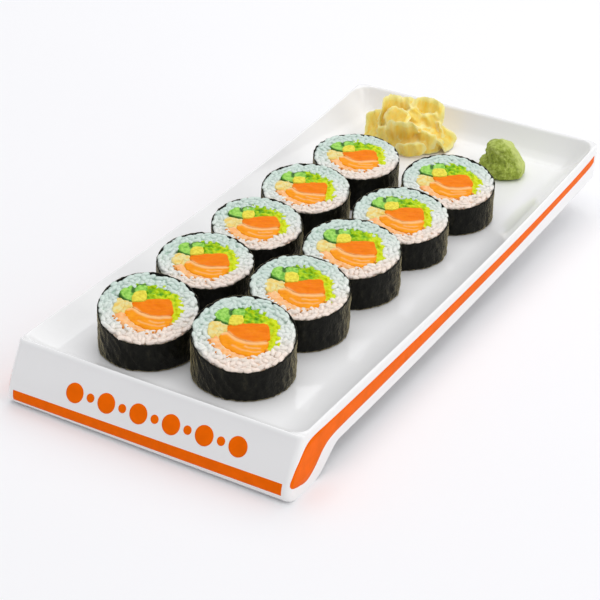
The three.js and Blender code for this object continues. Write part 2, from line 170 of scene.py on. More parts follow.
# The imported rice: how far inside the outline it lies, and how far below the cut face: all over, at
# the rim besides, and in the very middle.
CORE_INSET = 0.9
CORE_DROP, CORE_RIM_DROP, CORE_MIDDLE_DROP = 0.6, 0.8, 1.5
CORE_FOOT = (0.94, 0.2)  # the share of its radius at the foot, and the foot's height
# Its rings under the cut face, as shares of its radius.
CORE_RINGS = (1.0, 0.97, 0.93, 0.89, 0.85, 0.81, 0.77, 0.73, 0.69, 0.64, 0.58, 0.45, 0.3, 0.15)
# Layers of loose grains: depth under the cut face, distance from grain to grain, how many there are at
# most, and distance from the sheet.
GRAIN_LAYERS = ((1.2, 2.0, 240, 2.2), (0.6, 1.9, 330, 1.7))
GRAIN_SIZES = (0.82, 1.12)  # of the smallest and the largest grain
RIM_SHARE = 0.87  # further out than this share of the radius, grains lie along the sheet,
RIM_SWAY = 0.35  # give or take this, in radians
GRAIN_TILT, RIM_TILT = 0.3, 0.12  # how much a grain tilts, in radians: on the face and at its rim
GRAIN_JITTER = (-0.3, 0.35)  # how far it lies above its layer's depth, at the least and at the most
LEVELLED = 0.55  # the knife takes off this share of what stands above the cut face
# The hollow that the filling takes in the rice. Here and below, outlines and lines lie on the cut face:
# x to the right and y away from the viewer.
HOLLOW = (
    (-15.2, 6.6), (-12.6, 11.8), (-6.6, 14.0), (2.0, 14.4), (8.4, 12.0), (13.6, 7.4), (15.6, 0.0),
    (14.0, -8.6), (9.6, -11.6), (4.0, -15.0), (-4.4, -15.0), (-11.4, -10.8), (-15.6, -4.4), (-16.0, 2.0),
)
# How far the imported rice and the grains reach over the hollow's edge, as its size over theirs.
CORE_LAP, GRAIN_LAP = 1.04, 1.03
# How each kind of filling is cut: points from one corner to the next, the step that its surface is
# rebuilt in, rounds of smoothing, and its roughness as pairs of lump size and height.
CUT_KINDS = {
    "salmon": (4, 0.45, 2, ((3.4, 0.3), (1.1, 0.1))),
    "belly": (4, 0.48, 2, ((2.0, 0.35), (1.0, 0.12))),
    "egg": (2, 0.38, 1, ((2.2, 0.14), (0.9, 0.06))),
    "cream": (4, 0.42, 2, ((2.2, 0.3), (1.0, 0.12))),
    "cucumber": (4, 0.4, 2, ((2.4, 0.2), (0.9, 0.08))),
}
CUT_DEPTH = 3
BED_DROP, BED_DEPTH = 0.3, 3.5  # the beds of greens: how far below the cut face, and how deep
LEAF_STEP, LEAF_ROWS = 0.33, 5
LEAF_DEPTH = 2.6
LEAF_THICKNESS = (1.8, 1.3)  # deep down and at the edge
# How a leaf swings from side to side, and how its edge rises and falls.
LEAF_SWING = ((1.5, 1.9, 0), (0.6, 0.9, 5))
LEAF_CREST = ((0.8, 1.5, 9), (0.3, 0.7, 3))
# The cut pieces: name, kind, how far each stands above the cut face, and its outline.
CUTS = (
    ("salmon_upper", "salmon", 0.3, (
        (-7.2, 2.6), (-1.6, 4.4), (4.4, 5.4), (9.4, 5.2), (10.8, 0.8), (11.0, -3.6), (7.8, -5.2),
        (1.2, -5.6), (-3.4, -3.8), (-6.8, -0.6),
    )),
    ("salmon_lower", "salmon", 0.1, (
        (-9.8, -2.2), (-6.8, -0.6), (-3.6, -3.1), (1.0, -4.9), (8.0, -4.5), (11.2, -5.0),
        (9.9, -10.4), (7.6, -13.2), (3.0, -14.0), (-1.6, -12.6), (-6.5, -9.9), (-9.3, -6.4),
    )),
    ("salmon_belly", "belly", 0.05, (
        (-14.6, -4.6), (-11.8, -3.0), (-9.6, -4.6), (-7.0, -8.9), (-1.6, -12.4), (3.6, -13.9),
        (6.6, -13.4), (5.4, -15.7), (-1.6, -15.4), (-7.0, -14.2), (-11.6, -10.0),
    )),
    ("egg", "egg", 0.75, ((-7.2, 2.9), (-6.8, 8.6), (-1.4, 9.0), (-1.2, 3.4))),
    ("omelette_1", "cream", 0.35, (
        (-15.9, 2.2), (-14.2, 4.8), (-11.3, 4.0), (-10.6, -0.6), (-12.8, -4.5), (-15.7, -2.8),
    )),
    ("omelette_2", "cream", 0.1, ((-11.8, 4.8), (-8.4, 4.4), (-6.6, 1.4), (-7.1, -0.8), (-11.3, 0.4))),
    ("omelette_3", "cream", -0.15, ((-11.4, 0.9), (-7.0, -0.4), (-8.2, -3.8), (-12.8, -4.0))),
    ("cucumber_1", "cucumber", 0.35, (
        (-13.9, 7.2), (-12.3, 11.7), (-9.1, 13.5), (-6.9, 11.2), (-6.6, 5.8), (-7.5, 2.8), (-11.1, 4.0),
    )),
    ("cucumber_2", "cucumber", 0.35, (
        (-7.2, 8.4), (-7.4, 12.0), (-5.1, 14.0), (-1.8, 13.6), (-1.2, 9.4), (-4.6, 8.4),
    )),
)
# Lines on the filling: how far out each starts to fade, where it ends, its strength, and its course.
FAT_LINES = (
    (0.225, 1.425, 0.95, ((-8.6, -1.9), (-6.4, -1.5), (-3.3, -4.5), (0.4, -6.0), (4.6, -6.1), (9.6, -5.3))),
    (0.105, 0.665, 0.7, ((0.8, -8.4), (3.6, -9.0), (7.6, -8.6))),
    (0.105, 0.665, 0.65, ((-4.4, -8.2), (-0.4, -10.4), (4.4, -11.2), (8.0, -10.6))),
)
SKIN_LINES = (
    (0.55, 1.15, 1, ((-14.2, 8.0), (-13.4, 6.2), (-10.8, 3.9), (-7.9, 2.8), (-6.9, 0.4))),
    (0.55, 1.15, 1, ((-7.4, 9.4), (-7.4, 12.0), (-5.2, 14.0), (-2.0, 13.6))),
)
# The greens: beds of avocado and leaf, and crinkled leaf edges with how far they stand out.
GREEN_BEDS = (
    (
        (-2.0, 4.0), (-2.0, 9.4), (-1.6, 13.4), (2.8, 14.0), (7.6, 12.0), (11.2, 8.4), (10.0, 4.4),
        (4.4, 4.6),
    ),
    ((8.6, 9.9), (11.8, 9.2), (15.3, 4.4), (15.9, -3.4), (13.8, -9.4), (9.6, -9.2), (9.9, 4.4)),
)
RUFFLES = (
    (((-6.8, 13.6), (-2.0, 14.2), (3.2, 13.8), (7.8, 11.8), (11.4, 8.6)), 0.0),
    (((-1.4, 11.8), (3.2, 11.8), (7.2, 9.8), (10.4, 6.8)), 0.2),
    (((-1.2, 9.6), (3.0, 9.4), (6.4, 8.0), (9.2, 5.8)), 0.1),
    (((-1.0, 7.2), (3.0, 7.0), (6.4, 6.2), (9.0, 5.4)), 0.0),
    (((10.8, 9.2), (13.8, 5.8), (15.2, 1.2), (15.2, -3.6), (13.8, -8.4)), 0.0),
    (((11.0, 7.0), (12.6, 3.8), (13.2, -1.0), (12.4, -7.4)), 0.2),
)
CRUMBS = (
    (-13.7, -7.3), (-12.4, -8.6), (-8.6, -12.6), (-5.4, -15.2), (-4.6, -14.4), (3.2, -15.4),
    (4.4, -14.9), (-14.6, -5.8), (-10.4, -12.6), (0.6, -16.2), (10.8, -9.6),
)
CRUMB_SIZES = (1.0, 1.9)
CRUMB_DROP = 0.15

# ---- the ginger and the wasabi, as their solids have them ----

GARNISH_TURN = math.radians(29.5)
GINGER_PLACE = (-24.5, 128.5)
GINGER_CORE = {"x": 1, "y": 0.5, "width": 33, "depth": 25, "height": 14.5, "set_back": 4}
# Levels of the heap's middle: shares of its width and of its height.
GINGER_LEVELS = ((0.9, 0), (1, 0.12), (0.97, 0.3), (0.88, 0.52), (0.72, 0.72), (0.45, 0.9), (0.2, 0.98))
# Slices of ginger: the middle of each (x to the right, y away and z up), width, height, the way it
# faces, tilt back and turn in its own plane in degrees, bend across in radians, curl and ruffle.
GINGER_SLICES = (
    (-9, 8.8, 13.6, 22, 25, 20, 14, -14, -1.9, 0.2, 1.5),
    (-1.5, 10, 14.6, 15, 20, -12, 8, 8, 2.4, 0.3, 1.2),
    (9.8, 9.4, 13.8, 22, 22, -10, 20, -12, -1.5, 0.2, 1.6),
    (10.5, 1.5, 10.5, 19, 18, 14, 4, 14, 1.9, 0.7, 1.4),
    (-4.5, -8, 9.8, 21, 18, -10, -14, -6, 1.8, -0.2, 1.4),
    (-16.5, 7.5, 9.4, 17, 18, -42, 20, 18, -1.5, 0.3, 1.5),
    (-19.5, 5, 6, 14, 14, -62, 50, 0, 1.2, 0.3, 1.3),
    (-13, -4.5, 6.2, 19, 14, -40, 4, 10, 1.7, 0.3, 1.3),
    (0.5, -15.2, 4, 19, 10, -4, -10, 4, 1.5, 0.2, 0.9),
    (6.5, -9, 6.8, 16, 15, -30, 2, -14, 1.9, 0.5, 1.1),
    (17.2, -1.5, 5.2, 19, 17, 58, 52, 6, -1.9, 0.1, 1.4),
    (12.5, -9.4, 4, 19, 10, 26, 10, -4, 1.5, 0.4, 0.9),
    (3, 2.5, 15.8, 16, 13, 25, 38, 24, 2.1, 0.4, 1.2),
    (-6, 1, 15.4, 17, 13, -32, 42, -18, -1.8, 0.2, 1.2),
    (-7.5, 12.6, 9, 20, 18, 172, 12, 6, 1.6, 0.3, 1.3),
    (8, 12.2, 8.6, 20, 17, -165, 16, -8, 1.6, 0.3, 1.3),
    (17, 7, 7, 16, 15, 125, 20, 4, 1.5, 0.3, 1.3),
)
GINGER_CRUMPLE = ((0.3, 3.4, 0), (0.1, 1.3, 9))
WASABI_PLACE = (32.5, 127)
WASABI_RADIUS = 12.2
WASABI_HEIGHT = 18.8
WASABI_LEAN = 1.6
WASABI_SLOPE_WAY = 30  # which way its smooth slope faces, in degrees
WASABI_STEEP_FROM = (65, 95)  # so far round from there, it turns steep
WASABI_RIDGE_WAY = -45  # which way a low ridge runs down it
WASABI_RIDGE = (0.1, 14)  # how far the ridge stands out, as a share of the radius, and its width in degrees
# Levels of the wasabi: reach of its steep side, reach of its slope, and height.
WASABI_LEVELS = (
    (0.86, 0.86, 0), (0.98, 0.98, 0.08), (1, 1, 0.2), (0.94, 0.96, 0.31), (0.75, 0.86, 0.42),
    (0.69, 0.71, 0.6), (0.65, 0.58, 0.75), (0.57, 0.46, 0.87), (0.3, 0.26, 0.92), (0.1, 0.1, 0.98),
)


# ---- helpers for numbers and shapes ----


def linear(hex_colour):
    """Turns an sRGB hex colour to linear red, green, blue."""
    channels = (int(hex_colour[i : i + 2], 16) / 255 for i in (1, 3, 5))
    return tuple(c / 12.92 if c <= 0.04045 else ((c + 0.055) / 1.055) ** 2.4 for c in channels)


def smoothstep(start, end, value):
    """Rises smoothly from 0 at the start to 1 at the end."""
    t = np.clip((value - start) / (end - start), 0, 1)
    return t * t * (3 - 2 * t)


def runs(ranges):
    """Numbers along several ranges, each given as from, to and how many."""
    return np.concatenate([np.linspace(*each) for each in ranges])


def circle_of(count):
    """Angles round a circle of radius 1, and the points there."""
    angles = np.linspace(0, 2 * math.pi, count, endpoint=False)
    return angles, np.column_stack([np.cos(angles), np.sin(angles)])


def at_height(flat, z):
    """Flat points raised to a height, one for all or one for each."""
    return np.column_stack([flat, np.broadcast_to(z, len(flat))])


def spline(points, steps, closed=False):
    """Points on a smooth curve through the given ones, with so many steps from each to the next."""
    given = np.asarray(points, float)
    if closed:
        padded = np.vstack([given[-1], given, given[:2]])
    else:
        padded = np.vstack([2 * given[0] - given[1], given, 2 * given[-1] - given[-2]])
    t = np.linspace(0, 1, steps, endpoint=False)[:, None]
    curve = []
    for a, b, c, d in zip(padded, padded[1:], padded[2:], padded[3:]):
        bend = 2 * a - 5 * b + 4 * c - d
        twist = 3 * b - a - 3 * c + d
        curve.append(0.5 * (2 * b + (c - a) * t + bend * t**2 + twist * t**3))
    if not closed:
        curve.append(given[-1:])
    return np.vstack(curve)


def distance_along(line):
    """How far along a line each of its points is."""
    return np.concatenate([[0], np.cumsum(np.hypot(*np.diff(line, axis=0).T))])


def evenly(line, step):
    """The same line as points about a step apart."""
    along = distance_along(line)
    wanted = np.linspace(0, along[-1], max(2, int(along[-1] / step)))
    return np.column_stack([np.interp(wanted, along, line[:, i]) for i in range(2)])


def lumps(points, size, seed=0.0, octaves=1):
    """Smooth noise from about -1 to 1 at each point, with lumps of the given size."""
    shift = Vector((17.3, 5.1, 9.7)) * (seed + 1)
    return np.array([noise.fractal(Vector(p) / size + shift, 1.0, 2.0, octaves) for p in points])


def relief(points, layers, seed=0.0):
    """Layers of lumps added up, each given as its height, the size of its lumps and its own seed."""
    return sum(height * lumps(points, size, seed + own) for height, size, own in layers)


def degrees_off(degrees, way):
    """How far each direction is from a given one, in degrees."""
    return abs((degrees - way + 180) % 360 - 180)


def inside(outline, points):
    """Which of the points lie inside an outline."""
    x, y = points[:, 0], points[:, 1]
    crossed = np.zeros(len(points), bool)
    for (ax, ay), (bx, by) in zip(outline, np.roll(outline, -1, axis=0)):
        if ay != by:
            crossed ^= ((ay > y) != (by > y)) & (x < (bx - ax) * (y - ay) / (by - ay) + ax)
    return crossed


def distance_to_line(points, line):
    """How far each point is from the nearest part of a line."""
    best = np.full(len(points), np.inf)
    for a, b in zip(line, line[1:]):
        run = b - a
        t = np.clip(((points - a) @ run) / (run @ run), 0, 1)
        best = np.minimum(best, np.hypot(*(points - a - t[:, None] * run).T))
    return best


def tube_faces(rings, sides, round_again=False):
    """Quads between rings of equal length, each ring closed on itself."""
    faces = []
    for ring in range(rings if round_again else rings - 1):
        here = ring * sides
        there = ((ring + 1) % rings) * sides
        for side in range(sides):
            after = (side + 1) % sides
            faces.append((here + side, here + after, there + after, there + side))
    return faces


def capped(rings, low, high):
    """Points and faces of a lump, from its rings and the points that close it."""
    columns = len(rings[0])
    points = np.vstack([*rings, [low], [high]])
    faces = tube_faces(len(rings), columns)
    last = (len(rings) - 1) * columns
    for a in range(columns):
        b = (a + 1) % columns
        faces.append((b, a, len(points) - 2))
        faces.append((last + a, last + b, len(points) - 1))
    return points, faces


def sheet_solid(middle, normal, thickness, count):
    """A thin closed sheet round a grid of points, count of them in each row."""
    half = normal * (np.asarray(thickness).reshape(-1, 1) / 2)
    total = len(middle)
    faces = []
    for start in range(0, total - count, count):
        for a in range(start, start + count - 1):
            faces.append((a, a + 1, a + count + 1, a + count))
            faces.append((total + a, total + a + count, total + a + count + 1, total + a + 1))
    border = [
        *range(count), *range(2 * count - 1, total, count), *range(total - 2, total - count - 1, -1),
        *range(total - 2 * count, 0, -count),
    ]
    for a, b in zip(border, border[1:] + border[:1]):
        faces.append((b, a, total + a, total + b))
    return np.vstack([middle + half, middle - half]), faces


def grid_normals(grid):
    """Unit normals of a grid of points, as rows by columns by three."""
    normals = np.cross(np.gradient(grid, axis=1), np.gradient(grid, axis=0))
    return normals / np.maximum(np.linalg.norm(normals, axis=2, keepdims=True), 1e-9)


def join(parts):
    """Joins meshes given as points and faces into one."""
    points, faces, start = [], [], 0
    for part_points, part_faces in parts:
        points.append(part_points)
        faces += [tuple(start + i for i in face) for face in part_faces]
        start += len(part_points)
    return np.vstack(points), faces


def new_piece(name, points, faces, material, slot, place=None, flat_faces=()):
    """Makes a piece from points in millimetres, puts it in its place and hangs it on the body."""
    mesh = bpy.data.meshes.new(name)
    mesh.from_pydata((points * MM).tolist(), [], faces)
    mesh.shade_smooth()
    for index in flat_faces:
        mesh.polygons[index].use_smooth = False
    mesh.materials.append(material)
    shape = bmesh.new()
    shape.from_mesh(mesh)
    bmesh.ops.recalc_face_normals(shape, faces=shape.faces)
    shape.to_mesh(mesh)
    shape.free()
    piece = bpy.data.objects.new(name, mesh)
    bpy.context.collection.objects.link(piece)
    if place:
        piece.location = place.foot * MM
        piece.rotation_euler.z = place.turn
    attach(piece, "root")
    return piece


def paint(piece, name, values):
    """Keeps one number for each point of a piece, for its material to read."""
    attribute = piece.data.attributes.new(name, "FLOAT", "POINT")
    attribute.data.foreach_set("value", np.asarray(values, np.float32))


def read(mesh, what):
    """One vector for each point of a mesh: its place, co, or its normal."""
    flat = np.empty(len(mesh.vertices) * 3)
    mesh.vertices.foreach_get(what, flat)
    return flat.reshape(-1, 3)


def points_of(piece):
    """A piece's own points, in millimetres."""
    return read(piece.data, "co") / MM


def soften(piece, grain, rounds, roughen):
    """Rebuilds a piece's surface in steps of a grain, rounds its edges and roughens it.

    roughen holds pairs of lump size and height, in millimetres.
    """
    remesh = piece.modifiers.new("rebuild", "REMESH")
    remesh.mode = "VOXEL"
    remesh.voxel_size = grain * MM
    smooth = piece.modifiers.new("round", "SMOOTH")
    smooth.factor = 0.5
    smooth.iterations = rounds
    depsgraph = bpy.context.evaluated_depsgraph_get()
    mesh = bpy.data.meshes.new_from_object(piece.evaluated_get(depsgraph))
    old = piece.data
    piece.modifiers.clear()
    piece.data = mesh
    bpy.data.meshes.remove(old)
    mesh.name = piece.name
    points = points_of(piece)
    normals = read(mesh, "normal")
    seed = piece.location.x * 31 + piece.location.y * 17
    for size, height in roughen:
        points = points + normals * (lumps(points, size, seed) * height)[:, None]
    mesh.vertices.foreach_set("co", (points * MM).ravel())
    mesh.shade_smooth()
    mesh.update()


# ---- helpers for materials ----

NOISE = "ShaderNodeTexNoise"
RAMP = "ShaderNodeValToRGB"
RANGE = "ShaderNodeMapRange"
MAPPING = "ShaderNodeMapping"
ATTRIBUTE = "ShaderNodeAttribute"
MATHS = "ShaderNodeMath"
DIRECTION = "ShaderNodeVectorMath"
BUMP = "ShaderNodeBump"
PRINCIPLED = "ShaderNodeBsdfPrincipled"
OUTPUT = "ShaderNodeOutputMaterial"
MIX = "ShaderNodeMix"
# A Mix node's inputs for its factor and its two colours.
FACTOR, FIRST, SECOND = 0, 6, 7
BLEND = {"data_type": "RGBA"}
MULTIPLY = {"data_type": "RGBA", "blend_type": "MULTIPLY"}


def add_node(tree, kind, inputs, stops=(), **settings):
    """Adds a node with its settings. Each input is a value, another node or one of its outputs.

    stops holds a ramp's positions and colours.
    """
    made = tree.nodes.new(kind)
    for key, value in settings.items():
        setattr(made, key, value)
    for socket, value in inputs.items():
        if isinstance(value, bpy.types.Node):
            value = next(output for output in value.outputs if output.enabled)
        if isinstance(value, bpy.types.NodeSocket):
            tree.links.new(value, made.inputs[socket])
        else:
            made.inputs[socket].default_value = value
    for _ in stops[2:]:
        made.color_ramp.elements.new(0.5)
    for index, (position, colour) in enumerate(stops):
        made.color_ramp.elements[index].position = position
        made.color_ramp.elements[index].color = (*colour, 1)
    return made


def new_material(name):
    """A new material, add_node for its node tree, and a piece's own coordinates for the patterns."""
    material = bpy.data.materials.new(name)
    material.use_nodes = True
    material.node_tree.nodes.clear()
    add = partial(add_node, material.node_tree)
    return material, add, add("ShaderNodeTexCoord", {}).outputs["Object"]


def per_metre(size):
    """How often something of a size in millimetres repeats in a metre."""
    return 1 / (size * MM)


def darker(colour, share):
    """A share of a colour's light."""
    return tuple(c * share for c in colour)


def glazed_porcelain(look):
    """White porcelain under a clear fired glaze: a deep even gloss with barely wavy reflections."""
    material, add, where = new_material("glazed_porcelain")
    pooling = add(NOISE, {"Vector": where, "Scale": per_metre(45), "Detail": 2})
    stops = ((0.3, look.glaze), (0.7, darker(look.glaze, 0.975)))
    tone = add(RAMP, {"Fac": pooling}, stops)
    pits = add(NOISE, {"Vector": where, "Scale": per_metre(9), "Detail": 1})
    waviness = add(BUMP, {"Strength": 0.25, "Distance": 0.06 * MM, "Height": pits})
    gloss = add(RANGE, {"Value": pooling, "To Min": 0.07, "To Max": 0.16})
    shader = add(PRINCIPLED, {"Base Color": tone, "Roughness": gloss, "IOR": 1.52, "Normal": waviness})
    add(OUTPUT, {"Surface": shader})
    return material


def fired_enamel(look):
    """Orange on-glaze enamel, fired into the glaze: dense, a little less glossy than the glaze."""
    material, add, where = new_material("fired_enamel")
    density = add(NOISE, {"Vector": where, "Scale": per_metre(5), "Detail": 4})
    stops = ((0.35, look.enamel), (0.7, darker(look.enamel, 0.9)))
    tone = add(RAMP, {"Fac": density}, stops)
    shader = add(PRINCIPLED, {
        "Base Color": tone, "Roughness": 0.4, "IOR": 1.45, "Specular IOR Level": 0.04,
    })
    add(OUTPUT, {"Surface": shader})
    return material


def dried_seaweed(look):
    """Roasted nori, pressed from shreds: near black with green-brown mottles and a wrinkled sheen."""
    material, add, where = new_material("dried_seaweed")
    upright = add(MAPPING, {"Vector": where, "Scale": (1, 1, 0.55)})
    mottles = add(NOISE, {"Vector": upright, "Scale": per_metre(2.4), "Detail": 6})
    stops = ((0.36, look.nori), (0.58, look.nori_mottle), (0.8, linear("#2E2B1E")))
    tone = add(RAMP, {"Fac": mottles}, stops)
    shreds = add(NOISE, {"Vector": upright, "Scale": per_metre(1.8), "Detail": 5, "Roughness": 0.6})
    relief = add(BUMP, {"Strength": 1.0, "Distance": 0.7 * MM, "Height": shreds})
    gloss = add(RANGE, {
        "Value": mottles, "From Min": 0.3, "From Max": 0.7, "To Min": 0.58, "To Max": 0.36,
    })
    shader = add(PRINCIPLED, {
        "Base Color": tone, "Roughness": gloss, "IOR": 1.45, "Specular IOR Level": 0.17,
        "Sheen Weight": 1.0, "Sheen Roughness": 0.25, "Sheen Tint": (*linear("#E2D29C"), 1),
        "Normal": relief,
    })
    add(OUTPUT, {"Surface": shader})
    return material


def cooked_rice(look):
    """Vinegared short-grain rice: moist, translucent grains, with painted bounce light, cool by the greens
    and warm by the salmon, and painted shade between the grains.
    """
    material, add, where = new_material("cooked_rice")
    # Painted bounce light: the rice is tinted warm towards the salmon at the front and cool towards the
    # greens at the rear.
    away = add(DIRECTION, {0: where, 1: (-0.2, 0.98, 0)}, operation="DOT_PRODUCT")
    side = add(RANGE, {"Value": away, "From Min": -16 * MM, "From Max": 10 * MM})
    stops = ((0.0, look.rice_warm), (0.4, linear("#EEEFE8")), (1.0, look.rice_cool))
    tint = add(RAMP, {"Fac": side}, stops)
    packed = add(ATTRIBUTE, {}, attribute_name="packed").outputs["Fac"]
    # Painted shade: the rice core lies in the shade of the grains over it, so its tint counts twice and it
    # comes out darker.
    deep = add(MIX, {FACTOR: packed, FIRST: tint, SECOND: tint}, **MULTIPLY)
    grain = add(NOISE, {"Vector": where, "Scale": per_metre(2.2), "Detail": 2})
    cloud = add(RAMP, {"Fac": grain}, ((0.3, (0.9, 0.94, 0.93)), (0.62, (1, 1, 1))))
    shade = add(MIX, {FACTOR: 1.0, FIRST: deep, SECOND: cloud}, **MULTIPLY)
    skin = add(NOISE, {"Vector": where, "Scale": per_metre(0.7), "Detail": 3})
    relief = add(BUMP, {"Strength": 0.35, "Distance": 0.12 * MM, "Height": skin})
    shader = add(PRINCIPLED, {
        "Base Color": shade, "Roughness": 0.34, "IOR": 1.4, "Subsurface Weight": 0.2,
        "Subsurface Radius": (1.0, 0.95, 0.9), "Subsurface Scale": 0.6 * MM,
        "Coat Weight": 0.08, "Coat Roughness": 0.2, "Normal": relief,
    })
    add(OUTPUT, {"Surface": shader})
    return material


def raw_salmon(look):
    """Fresh salmon cut across its flakes: wet orange flesh with pale lines of fat."""
    material, add, where = new_material("raw_salmon")
    lower = add(ATTRIBUTE, {}, attribute_name="lower").outputs["Fac"]
    upper_tone, lower_tone = (*look.salmon_upper, 1), (*look.salmon_lower, 1)
    flesh = add(MIX, {FACTOR: lower, FIRST: upper_tone, SECOND: lower_tone}, **BLEND)
    streaks = add(MAPPING, {"Vector": where, "Scale": (0.28, 1, 1)})
    fibres = add(NOISE, {"Vector": streaks, "Scale": per_metre(1.1), "Detail": 4})
    stops = ((0.32, (0.92, 0.74, 0.5)), (0.6, (1, 1, 1)))
    fibre_tone = add(RAMP, {"Fac": fibres}, stops)
    fibred = add(MIX, {FACTOR: 0.8, FIRST: flesh, SECOND: fibre_tone}, **MULTIPLY)
    fat = add(ATTRIBUTE, {}, attribute_name="fat").outputs["Fac"]
    marbled = add(MIX, {FACTOR: fat, FIRST: fibred, SECOND: (*look.salmon_fat, 1)}, **BLEND)
    relief = add(BUMP, {"Strength": 0.4, "Distance": 0.15 * MM, "Height": fibres})
    shader = add(PRINCIPLED, {
        "Base Color": marbled, "Roughness": 0.36, "IOR": 1.38, "Specular IOR Level": 0.1,
        "Subsurface Weight": 0.15, "Subsurface Radius": (1.0, 0.45, 0.2),
        "Subsurface Scale": 1.2 * MM, "Normal": relief,
    })
    add(OUTPUT, {"Surface": shader})
    return material


def soft_filling(name, light, dark, size, gloss, skin=None):
    """A moist soft filling in two tones, mottled at a size in mm, with a skin where it is painted."""
    material, add, where = new_material(name)
    cells = add(NOISE, {"Vector": where, "Scale": per_metre(size), "Detail": 4})
    tone = add(RAMP, {"Fac": cells}, ((0.36, dark), (0.6, light)))
    if skin:
        mask = add(ATTRIBUTE, {}, attribute_name="skin").outputs["Fac"]
        tone = add(MIX, {FACTOR: mask, FIRST: tone, SECOND: (*skin, 1)}, **BLEND)
    relief = add(BUMP, {"Strength": 0.5, "Distance": 0.15 * size * MM, "Height": cells})
    shader = add(PRINCIPLED, {
        "Base Color": tone, "Roughness": gloss, "IOR": 1.38, "Specular IOR Level": 0.3,
        "Subsurface Weight": 0.25, "Subsurface Radius": (1.0, 0.9, 0.4),
        "Subsurface Scale": 1.2 * MM, "Normal": relief,
    })
    add(OUTPUT, {"Surface": shader})
    return material


def crinkled_leaf(look):
    """Leafy greens cut through: thin, wet and bright, yellower towards the tip, with painted light where
    the leaf stands out above the cut face and painted shade deep down.
    """
    material, add, where = new_material("crinkled_leaf")
    # heart holds a yellower colour towards the tip, plus painted light where the leaf stands out above the
    # cut face and painted shade deep down.
    heart = add(ATTRIBUTE, {}, attribute_name="heart").outputs["Fac"]
    patches = add(NOISE, {"Vector": where, "Scale": per_metre(2.2), "Detail": 3})
    blend = add(MATHS, {0: patches, 1: 1.5, 2: heart}, operation="MULTIPLY_ADD")
    stops = (
        (0.18, linear("#2C7200")), (0.42, look.leaf), (0.66, linear("#AED200")), (0.95, look.leaf_heart),
    )
    tone = add(RAMP, {"Fac": blend}, stops)
    shader = add(PRINCIPLED, {
        "Base Color": tone, "Roughness": 0.42, "IOR": 1.4, "Specular IOR Level": 0.25,
        "Subsurface Weight": 0.3, "Subsurface Radius": (0.8, 1.0, 0.1), "Subsurface Scale": 0.9 * MM,
    })
    add(OUTPUT, {"Surface": shader})
    return material


def pickled_ginger(look):
    """Sweet pickled ginger, sliced thin: wet, see-through slices, with a painted highlight along the thin
    rims and a deeper gold away from them.
    """
    material, add, where = new_material("pickled_ginger")
    # Painted highlight: the thin rims of the slices take the palest colour.
    rim = add(ATTRIBUTE, {}, attribute_name="rim").outputs["Fac"]
    strands = add(MAPPING, {"Vector": where, "Scale": (1, 1, 0.22)})
    fibres = add(NOISE, {"Vector": strands, "Scale": per_metre(1.6), "Detail": 4})
    blend = add(MATHS, {0: fibres, 1: 0.5, 2: rim}, operation="MULTIPLY_ADD")
    stops = ((0.16, look.ginger_deep), (0.4, look.ginger), (1.0, look.ginger_rim))
    tone = add(RAMP, {"Fac": blend}, stops)
    relief = add(BUMP, {"Strength": 0.4, "Distance": 0.15 * MM, "Height": fibres})
    shader = add(PRINCIPLED, {
        "Base Color": tone, "Roughness": 0.3, "IOR": 1.38, "Coat Weight": 0.35,
        "Coat Roughness": 0.25, "Subsurface Weight": 0.6, "Subsurface Radius": (1.0, 0.9, 0.5),
        "Subsurface Scale": 2.5 * MM, "Normal": relief,
    })
    add(OUTPUT, {"Surface": shader})
    return material


def wasabi_paste(look):
    """Grated wasabi pressed to a lump: dense, dull and grainy, with painted shade in its cracks and painted
    light on its ridges and on its smooth side.
    """
    material, add, where = new_material("wasabi_paste")
    grit = add(NOISE, {"Vector": where, "Scale": per_metre(2.0), "Detail": 6, "Roughness": 0.72})
    # Painted shade and highlight: the grit that also makes the bump is darkest in its cracks and lightest
    # on its ridges.
    stops = ((0.3, look.wasabi_dark), (0.52, look.wasabi), (0.75, look.wasabi_light))
    tone = add(RAMP, {"Fac": grit}, stops)
    # Painted light: this mask, made in build_wasabi, lays the lit colour on the smooth side and the top.
    pressed = add(ATTRIBUTE, {}, attribute_name="pressed").outputs["Fac"]
    faced = add(MIX, {FACTOR: pressed, FIRST: tone, SECOND: (*look.wasabi_light, 1)}, **BLEND)
    relief = add(BUMP, {"Strength": 0.9, "Distance": 0.6 * MM, "Height": grit})
    shader = add(PRINCIPLED, {
        "Base Color": faced, "Roughness": 0.55, "IOR": 1.4, "Subsurface Weight": 0.15,
        "Subsurface Radius": (0.8, 1.0, 0.3), "Subsurface Scale": 1.0 * MM, "Normal": relief,
    })
    add(OUTPUT, {"Surface": shader})
    return material


def matte_table(look):
    """A plain pale table top, dull and even."""
    material, add, where = new_material("matte_table")
    cloud = add(NOISE, {"Vector": where, "Scale": per_metre(300), "Detail": 2})
    tone = add(RAMP, {"Fac": cloud}, ((0.3, look.table), (0.7, darker(look.table, 0.99))))
    shader = add(PRINCIPLED, {"Base Color": tone, "Roughness": 0.9, "Specular IOR Level": 0.0})
    add(OUTPUT, {"Surface": shader})
    return material


# ---- the plate ----

PANEL_CURVE = spline(PANEL_FACE, 8)
PANEL_ALONG = distance_along(PANEL_CURVE)
PANEL_SLOPE = np.gradient(PANEL_CURVE, PANEL_ALONG, axis=0)


def crest_height(y):
    """Height of the rim: level along the front, then rising to the rear."""
    along = np.maximum(0, (y - RISE_START_Y) / (REAR_CREST_Y - RISE_START_Y))
    return FRONT_CREST_Z + (REAR_CREST_Z - FRONT_CREST_Z) * along**2


def band_height(y):
    """Lower edge of the side band: on the table at the front leg, rising towards the rear."""
    along = np.maximum(0, (y - BAND_RISE_START_Y) / (REAR_Y - BAND_RISE_START_Y))
    return (BAND_FRONT_Z + BAND_REAR_RISE * along**1.8) * smoothstep(HEEL_Y, LEG_REAR_Y, y)


